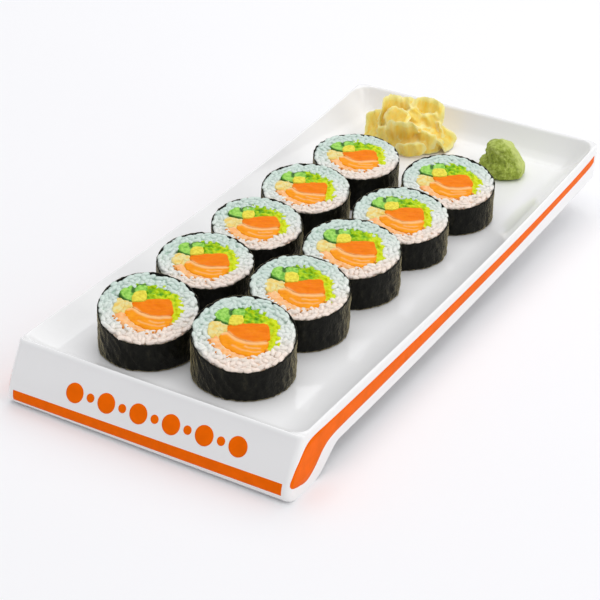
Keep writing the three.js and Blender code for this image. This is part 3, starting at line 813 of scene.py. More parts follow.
def underside(x, y):
    """Height of the plate's underside: a hollow between the side bands, and the bar-shaped foot."""
    band = band_height(y)
    hollow_z = np.maximum(HOLLOW_Z, band) * smoothstep(LEG_INSIDE_Y, LEG_INSIDE_Y + LEG_FILLET, y)
    hollow = 1 - smoothstep(HOLLOW_HALF_WIDTH, HOLLOW_HALF_WIDTH + HOLLOW_FLANK, abs(x))
    across = 1 - smoothstep(FOOT_HALF_WIDTH, FOOT_HALF_WIDTH + FOOT_SLOPE, abs(x))
    behind = smoothstep(FOOT_FRONT_Y, FOOT_FRONT_Y + FOOT_SLOPE, y)
    before = 1 - smoothstep(FOOT_REAR_Y - FOOT_SLOPE, FOOT_REAR_Y, y)
    return (band + (hollow_z - band) * hollow) * (1 - across * behind * before)


def upper_face(x, y):
    """Flat floor, and a bank that curves up from it to the crest of the rim."""
    sideways = np.maximum(0, (abs(x) - (HALF_WIDTH - CREST_INSET) + SIDE_BANK) / SIDE_BANK)
    forward = np.maximum(0, (FRONT_CREST_Y + FRONT_BANK - y) / FRONT_BANK)
    rearward = np.maximum(0, (y - REAR_CREST_Y + REAR_BANK) / REAR_BANK)
    climb = np.minimum(1, (sideways**3 + np.maximum(forward, rearward) ** 3) ** (1 / 3))
    return FLOOR_Z + (crest_height(y) - FLOOR_Z) * climb**1.9


def corner_in(side, radius):
    """How far the end of the plate draws in at a distance from its side face."""
    into = np.maximum(0, radius - side)
    return radius - np.sqrt(radius**2 - into**2)


def plate_section(x):
    """One closed outline round the plate at x, from the foot up the front and back underneath."""
    side = HALF_WIDTH - abs(x)
    rounding = max(0, 1 - side / CREST_INSET)
    drop = EDGE_DROP * (1 - math.sqrt(1 - rounding**2))
    front = spline(PANEL, 6)
    front[:, 1] -= drop * smoothstep(*PANEL_DROP, front[:, 1])
    above_y, below_y = runs(ABOVE_Y), runs(BELOW_Y)
    above = np.column_stack([above_y, upper_face(x, above_y) - drop])
    rear = spline(REAR_EDGE, 5)
    rear[:, 1] = REAR_CREST_Z - drop - rear[:, 1]
    rear = rear[rear[:, 1] > underside(x, REAR_FACE_Y) + REAR_FACE_GAP]
    rise = drop * smoothstep(HEEL_Y, LEG_REAR_Y, below_y)
    below = np.column_stack([below_y, underside(x, below_y) + rise])
    outline = np.vstack([front, above, rear, below])
    radius = np.where(outline[:, 0] < 0, FRONT_CORNER, REAR_CORNER)
    drawn_in = outline[:, 0] * (1 - corner_in(side, radius) / REAR_Y)
    return np.column_stack([np.full(len(outline), x), drawn_in, outline[:, 1]])


def panel_at(x, along, lift):
    """Points on the front panel, so far up along its curve and so far out from its face."""
    values = (*PANEL_CURVE.T, *PANEL_SLOPE.T)
    y, z, slope_y, slope_z = (np.interp(along, PANEL_ALONG, each) for each in values)
    return np.column_stack([x, y - lift * slope_z, z + lift * slope_y])


def along_panel(height):
    """How far up along the front panel's curve a height is."""
    return np.interp(height, PANEL_CURVE[:, 1], PANEL_ALONG)


def front_stripe():
    """The stripe along the foot of the front panel."""
    count, rows = 100, 8
    x, low, high = np.linspace(*FRONT_STRIPE, count).T
    places = np.tile(x, rows), np.linspace(along_panel(low), along_panel(high), rows).ravel()
    top, bottom = panel_at(*places, ENAMEL_LIFT), panel_at(*places, -ENAMEL_ROOT)
    lengths = np.linalg.norm(top - bottom, axis=1, keepdims=True)
    return sheet_solid((top + bottom) / 2, (top - bottom) / lengths, lengths, count)


def front_discs(look):
    """A plain row of discs, large and small by turns, on the front panel."""
    sides, rings = 48, 5
    circle = circle_of(sides)[1]
    shares = np.arange(1, rings + 1) / rings
    levels = [(share, -ENAMEL_ROOT) for share in shares]
    levels += [(share, ENAMEL_LIFT) for share in shares[::-1]]
    parts = []
    for index, (middle, height) in enumerate(np.linspace(*DISC_ROW, 2 * look.large_discs - 1)):
        centre = along_panel(height)
        radius = (look.small_disc if index % 2 else look.large_disc) / MM / 2
        outlines = []
        for share, lift in levels:
            x, along = (circle * radius * share + [middle, centre]).T
            outlines.append(panel_at(x, along, lift))
        low, high = (panel_at(middle, centre, lift)[0] for lift in (-ENAMEL_ROOT, ENAMEL_LIFT))
        parts.append(capped(outlines, low, high))
    return join(parts)


def side_stripe(sign):
    """The stripe along one side, which follows the rounded corner at its front tip."""
    edges = spline(SIDE_STRIPE, 10)
    rows = 7
    share = np.linspace(0, 1, rows)[:, None]
    y = np.tile(edges[:, 0], rows)
    z = (edges[:, 1] + (edges[:, 2] - edges[:, 1]) * share).ravel()
    into = np.clip(y - np.interp(z, PANEL_CURVE[:, 1], PANEL_CURVE[:, 0]), 0, FRONT_CORNER)
    turned = corner_in(into, FRONT_CORNER)
    thickness = ENAMEL_LIFT + ENAMEL_ROOT
    x = HALF_WIDTH - turned + ENAMEL_LIFT - thickness / 2
    normal = np.tile([float(sign), 0.0, 0.0], (len(y), 1))
    return sheet_solid(np.column_stack([sign * x, y, z]), normal, np.full(len(y), thickness), len(edges))


def build_plate(look):
    """The glazed plate, lofted from side to side, and the enamel on it."""
    near_edge = CREST_INSET * (1 - np.cos(np.linspace(0, math.pi / 2, 9)))
    right = HALF_WIDTH - np.concatenate([near_edge, runs(INWARD)])
    rings = [plate_section(x) for x in (*-right, *right[-2::-1])]
    sides = len(rings[0])
    last = (len(rings) - 1) * sides
    faces = tube_faces(len(rings), sides)
    faces += [tuple(range(sides - 1, -1, -1)), tuple(range(last, last + sides))]
    ends = (len(faces) - 2, len(faces) - 1)
    glaze = glazed_porcelain(look)
    plate = new_piece("porcelain_plate", np.vstack(rings), faces, glaze, "glazed_porcelain", None, ends)
    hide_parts("plate")
    enamel = fired_enamel(look)
    layers = {
        "front_stripe": front_stripe(),
        "front_discs": front_discs(look),
        "side_stripe_right": side_stripe(1),
        "side_stripe_left": side_stripe(-1),
    }
    for name, (points, faces) in layers.items():
        new_piece(name, points, faces, enamel, "orange_decoration")


# ---- the slices of roll ----


class Slice:
    """Where one slice stands, read from its solid, and the shape of its cut face."""

    def __init__(self, index, name, slant, turn, width):
        low, high = (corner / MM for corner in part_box("roll_" + name))
        self.name = name
        self.index = index
        self.foot = Vector(((low.x + high.x) / 2, (low.y + high.y) / 2, low.z))
        self.turn = math.radians(FACE_TURN + turn)
        self.radius = (high.x - low.x + high.y - low.y) / 4
        self.width = width
        self.slope = math.tan(math.radians(slant))
        self.height = high.z - low.z - self.radius * self.slope
        self.random = np.random.default_rng(100 + index)
        self.shift = self.random.uniform(-0.4, 0.4, 2)
        self.spin = math.radians(self.random.uniform(-4, 4))

    def cut(self, y):
        """Height of the cut face at y, away from the viewer."""
        return self.height + y * self.slope

    def outline(self, angles):
        """Radius of the sheet at each angle, a little out of round."""
        flat_towards = math.radians(90 - FACE_TURN)
        squeezed = 1 - SQUEEZE * np.cos(2 * (angles - flat_towards))
        widened = (self.width - 1) * np.cos(angles) ** 4
        return self.radius * (squeezed + widened + SWAY * np.cos(3 * angles + self.index))

    def laid(self, points):
        """An outline for a face of FACE_RADIUS, fitted to this slice and bent a little its own way."""
        cos, sin = math.cos(self.spin), math.sin(self.spin)
        turned = np.asarray(points, float) @ np.array([[cos, sin], [-sin, cos]]) * [self.width, 1]
        places = at_height(turned, 0)
        bends = [lumps(places, BEND_SIZE, self.index * 3.1 + seed) for seed in (0, 50)]
        return (turned + BEND * np.column_stack(bends) + self.shift) * self.radius / FACE_RADIUS


def all_slices():
    """The slices, each with its random numbers at their start."""
    return [Slice(index, *row) for index, row in enumerate(SLICES)]


def build_nori(place, look, material):
    """The sheet round the slice: wrinkled, lapped over itself, with a ragged cut edge."""
    angles, circle = circle_of(NORI_COLUMNS)
    radius = place.outline(angles)
    edge = circle * radius[:, None]
    lap_start = math.radians(place.random.uniform(0, 360))
    past = (angles - lap_start) % (2 * math.pi)
    lap = LAP * (1 - smoothstep(0.25, 0.9, past))
    foot = at_height(edge, 0)
    top = place.cut(edge[:, 1]) - NORI_DROP + relief(foot, NORI_RAGGED, place.index)
    rings = []
    for t in np.linspace(0, 1, NORI_ROWS + 1):
        z = top * t
        sheared = angles + look.nori_shear * z * MM
        leaning = np.column_stack([radius * np.cos(sheared), radius * np.sin(sheared)])
        wrinkle = 0
        for name, (drawn_out, layer) in NORI_WRINKLES.items():
            flat = leaning if name == "slanting" else edge
            wrinkle = wrinkle + relief(at_height(flat, z * drawn_out), [layer], place.index)
        tuck = TUCK * (1 - smoothstep(0, 0.08, t))
        reach = radius - NORI_INSET + wrinkle * (1 - 0.6 * smoothstep(0.8, 1, t)) + lap - tuck
        rings.append(at_height(circle * reach[:, None], z))
    # The sheet's inner face: straight down from the cut edge.
    thickness = look.nori_thickness / MM
    inner = rings[-1][:, :2] * (1 - thickness / radius[:, None])
    rings += [at_height(inner, z) for z in (top, top - 3, 0.3)]
    faces = tube_faces(len(rings), NORI_COLUMNS, round_again=True)
    sheet = new_piece(f"nori_{place.name}", np.vstack(rings), faces, material, "nori_sheet", place)
    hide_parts("roll_" + place.name)


def build_rice_core(place, material):
    """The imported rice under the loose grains, with their size as relief."""
    angles, circle = circle_of(144)
    radius = place.outline(angles) - CORE_INSET
    hollow = place.laid(spline(HOLLOW, 6, closed=True))
    foot_share, foot_z = CORE_FOOT
    rings = [at_height(circle * radius[:, None] * foot_share, foot_z)]
    for reach in CORE_RINGS:
        flat = circle * (radius * reach)[:, None]
        depth = CORE_DROP + CORE_RIM_DROP * smoothstep(0.92, 1, reach) + inside(hollow, flat * CORE_LAP)
        z = place.cut(flat[:, 1]) - depth
        rings.append(at_height(flat, z + 0.3 * lumps(at_height(flat, z), 1.5, place.index)))
    points, faces = capped(rings, (0, 0, foot_z), (0, 0, place.cut(0) - CORE_MIDDLE_DROP))
    core = new_piece(f"rice_core_{place.name}", points, faces, material, "cooked_rice", place)
    # Marks the rice core for the painted shade between the grains.
    paint(core, "packed", np.ones(len(points)))


def grain_shape():
    """One grain of cooked short-grain rice, lying along x, of length and width 1."""
    sides, steps = 8, 6
    circle = circle_of(sides)[1]
    rings = []
    for step in range(1, steps):
        x = -math.cos(math.pi * step / steps) / 2
        reach = 0.5 * (1 - (2 * abs(x)) ** 2.8) ** 0.5 * (1 - 0.1 * x)
        y, z = (circle * reach * [1, 0.92]).T
        rings.append(np.column_stack([np.full(sides, x), y, z - 0.2 * x * x]))
    return capped(rings, (-0.5, 0, 0), (0.5, 0, 0))


def scatter(place, hollow, spacing, wanted, margin):
    """Places on the rice of the cut face that keep their distance from each other and from the sheet."""
    tries = place.random.uniform(-place.radius, place.radius, (wanted * 30, 2)) * [place.width, 1]
    angles = np.arctan2(tries[:, 1], tries[:, 0])
    within = np.hypot(*tries.T) < place.outline(angles) - margin
    kept = np.empty((0, 2))
    for point in tries[within & ~inside(hollow, tries * GRAIN_LAP)]:
        if len(kept) >= wanted:
            break
        if not len(kept) or np.hypot(*(kept - point).T).min() >= spacing:
            kept = np.vstack([kept, point])
    return kept


def build_grains(place, look, material):
    """Loose grains pressed into the cut face, outside the filling."""
    hollow = place.laid(spline(HOLLOW, 6, closed=True))
    length, width = look.grain_length / MM, look.grain_width / MM
    template, faces = grain_shape()
    parts = []
    for depth, *spread in GRAIN_LAYERS:
        for x, y in scatter(place, hollow, *spread):
            at_rim = math.hypot(x, y) / place.radius > RIM_SHARE
            heading = place.random.uniform(0, math.pi)
            if at_rim:
                heading = math.atan2(y, x) + math.pi / 2 + place.random.uniform(-RIM_SWAY, RIM_SWAY)
            tilt = place.random.normal(0, RIM_TILT if at_rim else GRAIN_TILT)
            turn = (
                Matrix.Rotation(math.atan(place.slope), 3, "X")
                @ Matrix.Rotation(heading, 3, "Z")
                @ Matrix.Rotation(tilt, 3, "Y")
                @ Matrix.Rotation(place.random.uniform(0, 2 * math.pi), 3, "X")
            )
            size = np.array([length, width, width]) * place.random.uniform(*GRAIN_SIZES, 3)
            points = (template * size) @ np.array(turn).T
            points += [x, y, place.cut(y) - depth + place.random.uniform(*GRAIN_JITTER)]
            above = points[:, 2] - place.cut(points[:, 1])
            points[:, 2] -= np.maximum(0, above) * LEVELLED
            parts.append((points, faces))
    new_piece(f"rice_grains_{place.name}", *join(parts), material, "cooked_rice", place)


def prism(place, outline, rise, depth, steps):
    """An upright prism of filling under the cut face."""
    edge = place.laid(spline(outline, steps, closed=True))
    count = len(edge)
    top, bottom = (at_height(edge, place.cut(edge[:, 1]) + z) for z in (rise, -depth))
    faces = [tuple(range(count)), tuple(range(2 * count - 1, count - 1, -1))]
    for a in range(count):
        b = (a + 1) % count
        faces.append((a, count + a, count + b, b))
    return np.vstack([top, bottom]), faces


def marked(place, points, lines):
    """How strongly lines on the filling mark each point."""
    marks = []
    for start, end, strength, line in lines:
        far = distance_to_line(points[:, :2], place.laid(spline(line, 4)))
        marks.append(strength * (1 - smoothstep(start, end, far)))
    return np.max(marks, axis=0)


def build_cuts(place, materials):
    """The cut pieces: salmon with its lines of fat, egg, pale chunks, and cucumber with its skin."""
    for name, kind, rise, outline in CUTS:
        steps, grain, rounds, roughness = CUT_KINDS[kind]
        points, faces = prism(place, outline, rise, CUT_DEPTH, steps)
        piece = new_piece(f"{name}_{place.name}", points, faces, materials[kind], "roll_filling", place)
        soften(piece, grain, rounds, roughness)
        points = points_of(piece)
        if kind == "salmon":
            paint(piece, "fat", marked(place, points, FAT_LINES))
            paint(piece, "lower", (name == "salmon_lower") + 0.25 * lumps(points, 4, place.index))
        if kind == "cucumber":
            paint(piece, "skin", marked(place, points, SKIN_LINES))


def ruffle(place, line, rise, index):
    """One crinkled leaf edge: a thin upright sheet that waves from side to side."""
    path = evenly(spline(place.laid(line), 8), LEAF_STEP)
    heading = np.gradient(path, axis=0)
    heading /= np.hypot(*heading.T)[:, None]
    sideways = np.column_stack([-heading[:, 1], heading[:, 0]])
    places = at_height(path, index * 5.0)
    swing = relief(places, LEAF_SWING, place.index)
    crest = rise + relief(places, LEAF_CREST, place.index)
    grid = []
    for t in np.linspace(0, 1, LEAF_ROWS):
        flat = path + sideways * (swing * (0.25 + 0.75 * t))[:, None]
        grid.append(at_height(flat, place.cut(flat[:, 1]) - LEAF_DEPTH * (1 - t) + crest * t))
    normals = grid_normals(np.array(grid)).reshape(-1, 3)
    thickness = np.repeat(np.linspace(*LEAF_THICKNESS, LEAF_ROWS), len(path))
    return sheet_solid(np.vstack(grid), normals, thickness, len(path))


def build_greens(place, material):
    """Avocado and leaf, pressed to one crinkled mass behind and beside the salmon."""
    parts = [prism(place, outline, -BED_DROP, BED_DEPTH, 4) for outline in GREEN_BEDS]
    parts += [ruffle(place, line, rise, index) for index, (line, rise) in enumerate(RUFFLES)]
    piece = new_piece(f"greens_{place.name}", *join(parts), material, "roll_filling", place)
    soften(piece, 0.35, 2, ((1.5, 0.35), (0.8, 0.14)))
    x, y, z = points_of(piece).T
    towards_tip = smoothstep(-6, 17, x - 0.7 * y)
    # Painted light and shade: what stands out above the cut face is lighter and yellower, what lies deep
    # down darker green.
    standing_out = smoothstep(-0.9, 0.4, z - place.cut(y))
    paint(piece, "heart", 0.62 * towards_tip + 0.3 * standing_out - 0.45)


def build_crumbs(place, material):
    """Orange crumbs of the filling caught between the grains."""
    template, faces = grain_shape()
    parts = []
    for x, y in place.laid(CRUMBS):
        size = place.random.uniform(*CRUMB_SIZES, 3)
        turn = Matrix.Rotation(place.random.uniform(0, 3.14), 3, "Z")
        points = (template * size) @ np.array(turn).T
        points += 0.12 * lumps(points, 0.8, x)[:, None]
        parts.append((points + [x, y, place.cut(y) - CRUMB_DROP], faces))
    new_piece(f"crumbs_{place.name}", *join(parts), material, "roll_filling", place)


# ---- the ginger and the wasabi ----


class Spot:
    """A place on the plate's floor, for a piece that has its own middle as origin."""

    def __init__(self, place):
        self.foot = Vector((*place, FLOOR_Z + GARNISH_LIFT))
        self.turn = GARNISH_TURN


def ginger_slice(row, thickness, index):
    """One slice of ginger: an oval sheet, bent round, pleated and ruffled, with a thin rim."""
    at_x, at_y, at_z, width, height, facing, tilt, twist, bend, curl, ruffled = row
    count = 29
    a, b = np.meshgrid(np.linspace(-1, 1, count), np.linspace(-1, 1, count), indexing="ij")
    rim = np.maximum(abs(a), abs(b)).ravel()
    around = np.arctan2(b, a)
    top = np.maximum(0, b)
    radius = width / bend
    across = a * np.sqrt(1 - b * b * 0.42) * width / 2
    up = b * np.sqrt(1 - a * a * 0.42) * height / 2 - 0.35 * curl * top**3 * height / 2
    waves = 0.8 * np.sin(3 * around + index * 1.7) + 0.5 * np.sin(5 * around + index * 2.9)
    pleat = abs(np.cos(2 * math.pi * (0.75 * a + 0.16 * b) + index * 2.3))
    folds = 0.75 * (1 - 2 * pleat**0.8) * (0.35 + 0.65 * smoothstep(-0.8, 0.8, b))
    out = ruffled * ((a * a + b * b) / 2 * waves + folds) - curl * top**2 * height / 4
    out -= radius * (1 - np.cos(across / radius))
    across = radius * np.sin(across / radius)
    turned, face, back = np.radians([twist, facing, tilt])
    x = across * np.cos(turned) - up * np.sin(turned)
    y = across * np.sin(turned) + up * np.cos(turned)
    outward = np.sin(face) * np.cos(back), -np.cos(face) * np.cos(back), np.sin(back)
    upward = -np.sin(face) * np.sin(back), np.cos(face) * np.sin(back), np.cos(back)
    sideward = np.cos(face), np.sin(face), 0
    axes = np.array([sideward, upward, outward])
    grid = np.array([at_x, at_y, at_z]) + np.stack([x, y, out], axis=2) @ axes
    flat = grid.reshape(-1, 3)
    crumple = relief(flat, GINGER_CRUMPLE, index)
    flat = flat + grid_normals(grid).reshape(-1, 3) * crumple[:, None]
    flat[:, 2] = np.maximum(flat[:, 2], 0.5)
    normals = grid_normals(flat.reshape(grid.shape)).reshape(-1, 3)
    taper = thickness * (1 - 0.55 * smoothstep(0.7, 1, rim))
    points, faces = sheet_solid(flat, normals, taper, count)
    points[:, 2] = np.maximum(points[:, 2], 0)
    return points, faces, np.tile(smoothstep(0.62, 1, rim), 2)


def ginger_heart():
    """The middle of the heap, which the slices lie round."""
    circle = circle_of(72)[1]
    core = GINGER_CORE
    foot = np.array([core["x"], core["y"], 0])
    rings = []
    for share, rise in GINGER_LEVELS:
        flat = circle * [core["width"] / 2 * share, core["depth"] / 2 * share]
        places = at_height(flat, core["height"] * rise) + foot + [0, core["set_back"] * rise, 0]
        folds = 1 + 0.09 * lumps(places, 5, 3) * (rise > 0)
        rings.append(places * folds[:, None])
    return capped(rings, foot, foot + [0, core["set_back"], core["height"]])


def build_ginger(look):
    """The heap of slices, which cling together so that light passes from one to the next."""
    heart = ginger_heart()
    parts, rims = [heart], [np.zeros(len(heart[0]))]
    for index, row in enumerate(GINGER_SLICES):
        points, faces, rim = ginger_slice(row, look.ginger_thickness / MM, index)
        parts.append((points, faces))
        rims.append(rim)
    points, faces = join(parts)
    rim = np.concatenate(rims)
    tree = kdtree.KDTree(len(points))
    for index, point in enumerate(points):
        tree.insert(point, index)
    tree.balance()
    material = pickled_ginger(look)
    heap = new_piece("ginger_heap", points, faces, material, "pickled_ginger", Spot(GINGER_PLACE))
    soften(heap, 0.55, 1, ((1.2, 0.05),))
    # Painted highlight along the thin rims of the slices, for the material to read.
    paint(heap, "rim", [rim[tree.find(point)[1]] for point in points_of(heap)])
    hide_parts("ginger")


def build_wasabi(look):
    """The lump of wasabi: steep and crumbled on one side, pressed smooth on the other, which carries
    painted light.
    """
    angles, circle = circle_of(176)
    steep = smoothstep(*WASABI_STEEP_FROM, degrees_off(np.degrees(angles), WASABI_SLOPE_WAY))
    from_ridge = degrees_off(np.degrees(angles), WASABI_RIDGE_WAY)
    ridge_share, ridge_width = WASABI_RIDGE
    rings = []
    for steep_reach, slope_reach, rise in spline(WASABI_LEVELS, 8):
        ridge = ridge_share * np.exp(-((from_ridge / ridge_width) ** 2)) * (1 - rise)
        reach = WASABI_RADIUS * (slope_reach + (steep_reach - slope_reach) * steep + ridge)
        height = max(0, WASABI_HEIGHT * rise)
        places = at_height(circle * reach[:, None], height)
        low = min(1, height / 1.5)
        crumbs = np.maximum(0, lumps(places, 2.0, 5)) * (0.25 + 0.75 * np.maximum(steep, rise > 0.8))
        rough = 0.3 * lumps(places, 3.8, 2) + 1.3 * crumbs + 0.35 * steep * lumps(places, 0.9, 3)
        rough = rough * min(1, 3 * (1.02 - rise)) * (0.3 + 0.7 * low)
        swell = 1 + rough / np.maximum(reach, 3)
        flat = places[:, :2] * swell[:, None] - [WASABI_LEAN * rise**2, 0]
        rings.append(at_height(flat, height + 0.3 * rough * low))
    points, faces = capped(rings, (0, 0, 0), (-WASABI_LEAN, 0, WASABI_HEIGHT))
    material = wasabi_paste(look)
    lump = new_piece("wasabi_lump", points, faces, material, "wasabi_paste", Spot(WASABI_PLACE))
    # Painted light: the smooth side and the upper part are made lighter, with lumps, and kept as pressed.
    smooth_side = np.concatenate([np.tile(1 - steep, len(rings)), [0, 0]])
    worn = smooth_side + 0.6 * lumps(points, 3, 1, 2) + 0.4 * (points[:, 2] / WASABI_HEIGHT - 0.5)
    paint(lump, "pressed", 0.75 * smoothstep(-0.1, 1.3, worn))
    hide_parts("wasabi")


# ---- the stage ----


LIGHTS_AIM = Vector((0, 0, 0.02))  # the middle of the plate


def soft_box(name, power, colour, size, place):
    """A large soft light that shines from its place towards the middle of the plate."""
    light = bpy.data.lights.new(name, "AREA")
    light.shape = "RECTANGLE"
    light.size, light.size_y = size
    light.energy = power
    light.color = colour
    lamp = bpy.data.objects.new(name, light)
    lamp.location = place
    lamp.rotation_mode = "QUATERNION"
    lamp.rotation_quaternion = (LIGHTS_AIM - Vector(place)).to_track_quat("-Z", "Y")
    bpy.context.collection.objects.link(lamp)


def build_camera(look):
    """The camera, so far round and up from its target, and rolled a little."""
    data = bpy.data.cameras.new("camera")
    data.lens = look.lens
    data.sensor_width = 36
    data.clip_start = 0.05
    camera = bpy.data.objects.new("camera", data)
    level = Euler((math.pi / 2 - look.elevation, 0, look.azimuth)).to_matrix()
    back = level @ Vector((0, 0, 1))
    turn = (level @ Matrix.Rotation(look.roll, 3, "Z")).to_4x4()
    camera.matrix_world = Matrix.Translation(Vector(look.target) + back * look.distance) @ turn
    bpy.context.collection.objects.link(camera)
    bpy.context.scene.camera = camera


def build_stage(look):
    """The table, the light from all round, the soft boxes and the camera."""
    mesh = bpy.data.meshes.new("table")
    reach = look.table_reach
    corners = ((-reach, -reach, 0), (reach, -reach, 0), (reach, reach, 0), (-reach, reach, 0))
    mesh.from_pydata(corners, [], [(0, 1, 2, 3)])
    mesh.materials.append(matte_table(look))
    table = bpy.data.objects.new("table", mesh)
    bpy.context.collection.objects.link(table)
    world = bpy.data.worlds.new("studio")
    world.use_nodes = True
    sky = world.node_tree.nodes["Background"]
    sky.inputs["Color"].default_value = (*look.sky, 1)
    sky.inputs["Strength"].default_value = look.sky_strength
    bpy.context.scene.world = world
    soft_box("top_light", look.top_power, (1, 1, 1), (2, 2), (0, 0.1, 2))
    soft_box("back_light", look.back_power, (1, 1, 1), (1.5, 1.2), (-0.15, 1.05, 1.45))
    soft_box("right_light", look.right_power, (1, 0.99, 0.98), (0.8, 1.6), (1.5, 0.1, 0.8))
    build_camera(look)


# ---- settings ----


def colour_of(name, description, hex_colour):
    """A setting for a colour, with its default as sRGB hex."""
    default = linear(hex_colour)
    return FloatVectorProperty(name=name, description=description, subtype="COLOR", default=default)


def length_of(name, description, millimetres):
    """A setting for a length, with its default in millimetres."""
    default = millimetres * MM
    return FloatProperty(name=name, description=description, unit="LENGTH", default=default)


def angle_of(name, description, degrees):
    """A setting for an angle, with its default in degrees."""
    default = math.radians(degrees)
    return FloatProperty(name=name, description=description, subtype="ANGLE", default=default)


def power_of(name, description, watts):
    """A setting for the power of a light, with its default in watts."""
    return FloatProperty(name=name, description=description, unit="POWER", default=watts)


class MAKI_PG_plate(bpy.types.PropertyGroup):
    glaze: colour_of("Glaze", "Colour of the glazed plate", "#F8F8F7")
    enamel: colour_of("Enamel", "Colour of the stripes and discs", "#FF6E00")
    large_discs: IntProperty(
        name="Large Discs", description="How many large discs the front has", default=6, min=2
    )
    large_disc: length_of("Large Disc", "Width of a large disc", 9)
    small_disc: length_of("Small Disc", "Width of a small disc", 4)


class MAKI_PG_rolls(bpy.types.PropertyGroup):
    nori: colour_of("Nori", "Main colour of the seaweed", "#050502")
    nori_mottle: colour_of("Nori Mottles", "Colour of its mottles", "#11110A")
    nori_thickness: length_of("Nori Thickness", "Thickness of the wrapped sheet", 0.5)
    nori_shear: FloatProperty(
        name="Nori Shear", description="How far round its wrinkles lean, in radians per metre", default=35
    )
    rice_cool: colour_of("Rice by the Greens", "Rice colour with painted bounce light there", "#D3E3D9")
    rice_warm: colour_of("Rice by the Salmon", "Rice colour with painted bounce light there", "#FBE8DA")
    grain_length: length_of("Grain Length", "Length of a cooked grain", 4.5)
    grain_width: length_of("Grain Width", "Width of a cooked grain", 2.6)
    salmon_upper: colour_of("Upper Salmon", "Colour of the upper piece", "#F88400")
    salmon_lower: colour_of("Lower Salmon", "Colour of the lower piece", "#FFA214")
    salmon_fat: colour_of("Salmon Fat", "Colour of the lines of fat", "#FFC586")
    belly: colour_of("Salmon Belly", "Colour of the pale band", "#FFC890")
    egg: colour_of("Egg", "Colour of the egg", "#F2E64E")
    cream: colour_of("Omelette", "Colour of the pale chunks", "#EADF9C")
    cucumber: colour_of("Cucumber", "Colour of the flesh", "#A6DE60")
    cucumber_skin: colour_of("Cucumber Skin", "Colour of the skin", "#2F6B10")
    leaf: colour_of("Leaf", "Colour of the leaf", "#78B600")
    leaf_heart: colour_of("Leaf Heart", "Colour of the pale leaf", "#D4E206")


class MAKI_PG_sides(bpy.types.PropertyGroup):
    ginger: colour_of("Ginger", "Main colour of the ginger", "#FFE686")
    ginger_deep: colour_of("Ginger Inner Gold", "Deeper gold away from the rims", "#FFD24C")
    ginger_rim: colour_of("Ginger Rim Highlight", "Painted highlight along the thin rims", "#FFEB9E")
    ginger_thickness: length_of("Ginger Thickness", "Thickness of a slice", 1.0)
    wasabi: colour_of("Wasabi", "Main colour of the wasabi", "#A2B43E")
    wasabi_dark: colour_of("Wasabi Painted Shade", "Painted shade in its cracks", "#5A6A08")
    wasabi_light: colour_of("Wasabi Painted Light", "Painted light on its ridges and its smooth side", "#D2DE84")


class MAKI_PG_stage(bpy.types.PropertyGroup):
    table: colour_of("Table", "Colour of the table", "#F9F9FA")
    table_reach: length_of("Table Reach", "Half the width of the table", 4000)
    sky: colour_of("Studio", "Colour of the light from all round", "#FBFBFF")
    sky_strength: FloatProperty(
        name="Studio Strength", description="Strength of the light from all round", default=0.565
    )
    top_power: power_of("Top Light", "Power of the light above", 13)
    back_power: power_of("Back Light", "Power of the light behind", 7)
    right_power: power_of("Right Light", "Power of the light to the right", 6.4)
    azimuth: angle_of("Azimuth", "How far round the camera stands", 29.55)
    elevation: angle_of("Elevation", "How high the camera stands", 30.07)
    roll: angle_of("Roll", "Roll of the camera", 1.62)
    distance: length_of("Distance", "From the camera to its target", 865.21)
    target: FloatVectorProperty(
        name="Target", description="Point that the camera looks at", subtype="TRANSLATION",
        default=(10.78 * MM, -48.5 * MM, 23.4 * MM),
    )
    lens: FloatProperty(
        name="Lens", description="Focal length in millimetres", unit="CAMERA", default=111.27
    )


class MAKI_PG_platter(bpy.types.PropertyGroup):
    plate: PointerProperty(type=MAKI_PG_plate, name="Plate", description="The plate")
    rolls: PointerProperty(type=MAKI_PG_rolls, name="Rolls", description="The slices of roll")
    sides: PointerProperty(type=MAKI_PG_sides, name="Sides", description="Ginger and wasabi")
    stage: PointerProperty(type=MAKI_PG_stage, name="Stage", description="Table, lights and camera")


# ---- operators ----


class MAKI_OT_stage(bpy.types.Operator):
    """Sets up the table, the lights and the camera"""

    bl_idname = "maki.stage"
    bl_label = "Stage"

    def execute(self, context):
        build_stage(context.scene.maki.stage)
        return {"FINISHED"}


class MAKI_OT_plate(bpy.types.Operator):
    """Makes the glazed plate and its orange decoration"""

    bl_idname = "maki.plate"
    bl_label = "Plate"

    def execute(self, context):
        build_plate(context.scene.maki.plate)
        return {"FINISHED"}


class MAKI_OT_nori(bpy.types.Operator):
    """Wraps a sheet of nori round each slice"""

    bl_idname = "maki.nori"
    bl_label = "Nori"

    def execute(self, context):
        look = context.scene.maki.rolls
        material = dried_seaweed(look)
        for place in all_slices():
            build_nori(place, look, material)
        return {"FINISHED"}


class MAKI_OT_rice(bpy.types.Operator):
    """Fills each slice with rice and lays loose grains on its cut face"""

    bl_idname = "maki.rice"
    bl_label = "Rice"

    def execute(self, context):
        look = context.scene.maki.rolls
        material = cooked_rice(look)
        for place in all_slices():
            build_rice_core(place, material)
            build_grains(place, look, material)
        return {"FINISHED"}


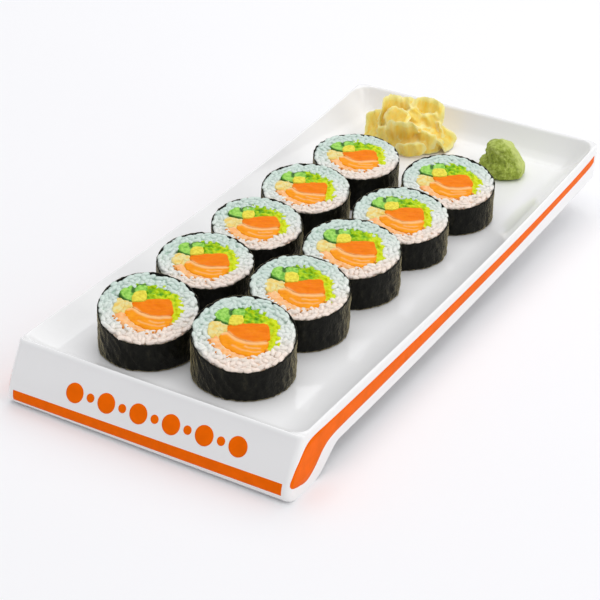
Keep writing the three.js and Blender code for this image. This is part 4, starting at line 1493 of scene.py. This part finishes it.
class MAKI_OT_filling(bpy.types.Operator):
    """Lays salmon, egg, cucumber, avocado and leaf in each slice"""

    bl_idname = "maki.filling"
    bl_label = "Filling"

    def execute(self, context):
        look = context.scene.maki.rolls
        # Rolled omelette is dull and finely porous; the pale chunks are the same egg, cooked softer.
        materials = {
            "salmon": raw_salmon(look),
            "belly": soft_filling("salmon_belly_fat", look.belly, linear("#FFB068"), 2.0, 0.34),
            "egg": soft_filling("rolled_omelette", look.egg, linear("#DCCB34"), 1.2, 0.5),
            "cream": soft_filling("soft_omelette", look.cream, linear("#EFCB62"), 2.0, 0.45),
            "cucumber": soft_filling(
                "cut_cucumber", look.cucumber, linear("#6DB52E"), 1.6, 0.36, look.cucumber_skin
            ),
            "crumb": soft_filling("salmon_crumb", linear("#F4A44C"), linear("#D98120"), 0.9, 0.4),
            "greens": crinkled_leaf(look),
        }
        for place in all_slices():
            build_cuts(place, materials)
            build_greens(place, materials["greens"])
            build_crumbs(place, materials["crumb"])
        return {"FINISHED"}


class MAKI_OT_ginger(bpy.types.Operator):
    """Heaps the slices of pickled ginger"""

    bl_idname = "maki.ginger"
    bl_label = "Ginger"

    def execute(self, context):
        build_ginger(context.scene.maki.sides)
        return {"FINISHED"}


class MAKI_OT_wasabi(bpy.types.Operator):
    """Presses the lump of wasabi"""

    bl_idname = "maki.wasabi"
    bl_label = "Wasabi"

    def execute(self, context):
        build_wasabi(context.scene.maki.sides)
        return {"FINISHED"}


OPERATORS = (
    MAKI_OT_stage,
    MAKI_OT_plate,
    MAKI_OT_nori,
    MAKI_OT_rice,
    MAKI_OT_filling,
    MAKI_OT_ginger,
    MAKI_OT_wasabi,
)


class MAKI_PT_platter(bpy.types.Panel):
    """Lists the pieces of the platter"""

    bl_idname = "MAKI_PT_platter"
    bl_label = "Maki Platter"
    bl_space_type = "VIEW_3D"
    bl_region_type = "UI"
    bl_category = "Maki"

    def draw(self, context):
        for operator in OPERATORS:
            self.layout.operator(operator.bl_idname)


CLASSES = (
    MAKI_PG_plate,
    MAKI_PG_rolls,
    MAKI_PG_sides,
    MAKI_PG_stage,
    MAKI_PG_platter,
    *OPERATORS,
    MAKI_PT_platter,
)


def register():
    for cls in CLASSES:
        bpy.utils.register_class(cls)
    bpy.types.Scene.maki = PointerProperty(type=MAKI_PG_platter, name="Maki", description="The platter")


def unregister():
    del bpy.types.Scene.maki
    for cls in reversed(CLASSES):
        bpy.utils.unregister_class(cls)


def main():
    register()
    bpy.context.scene.view_settings.view_transform = "Standard"
    bpy.ops.maki.stage()
    bpy.ops.maki.plate()
    bpy.ops.maki.nori()
    bpy.ops.maki.rice()
    bpy.ops.maki.filling()
    bpy.ops.maki.ginger()
    bpy.ops.maki.wasabi()


if __name__ == "__main__":
    main()
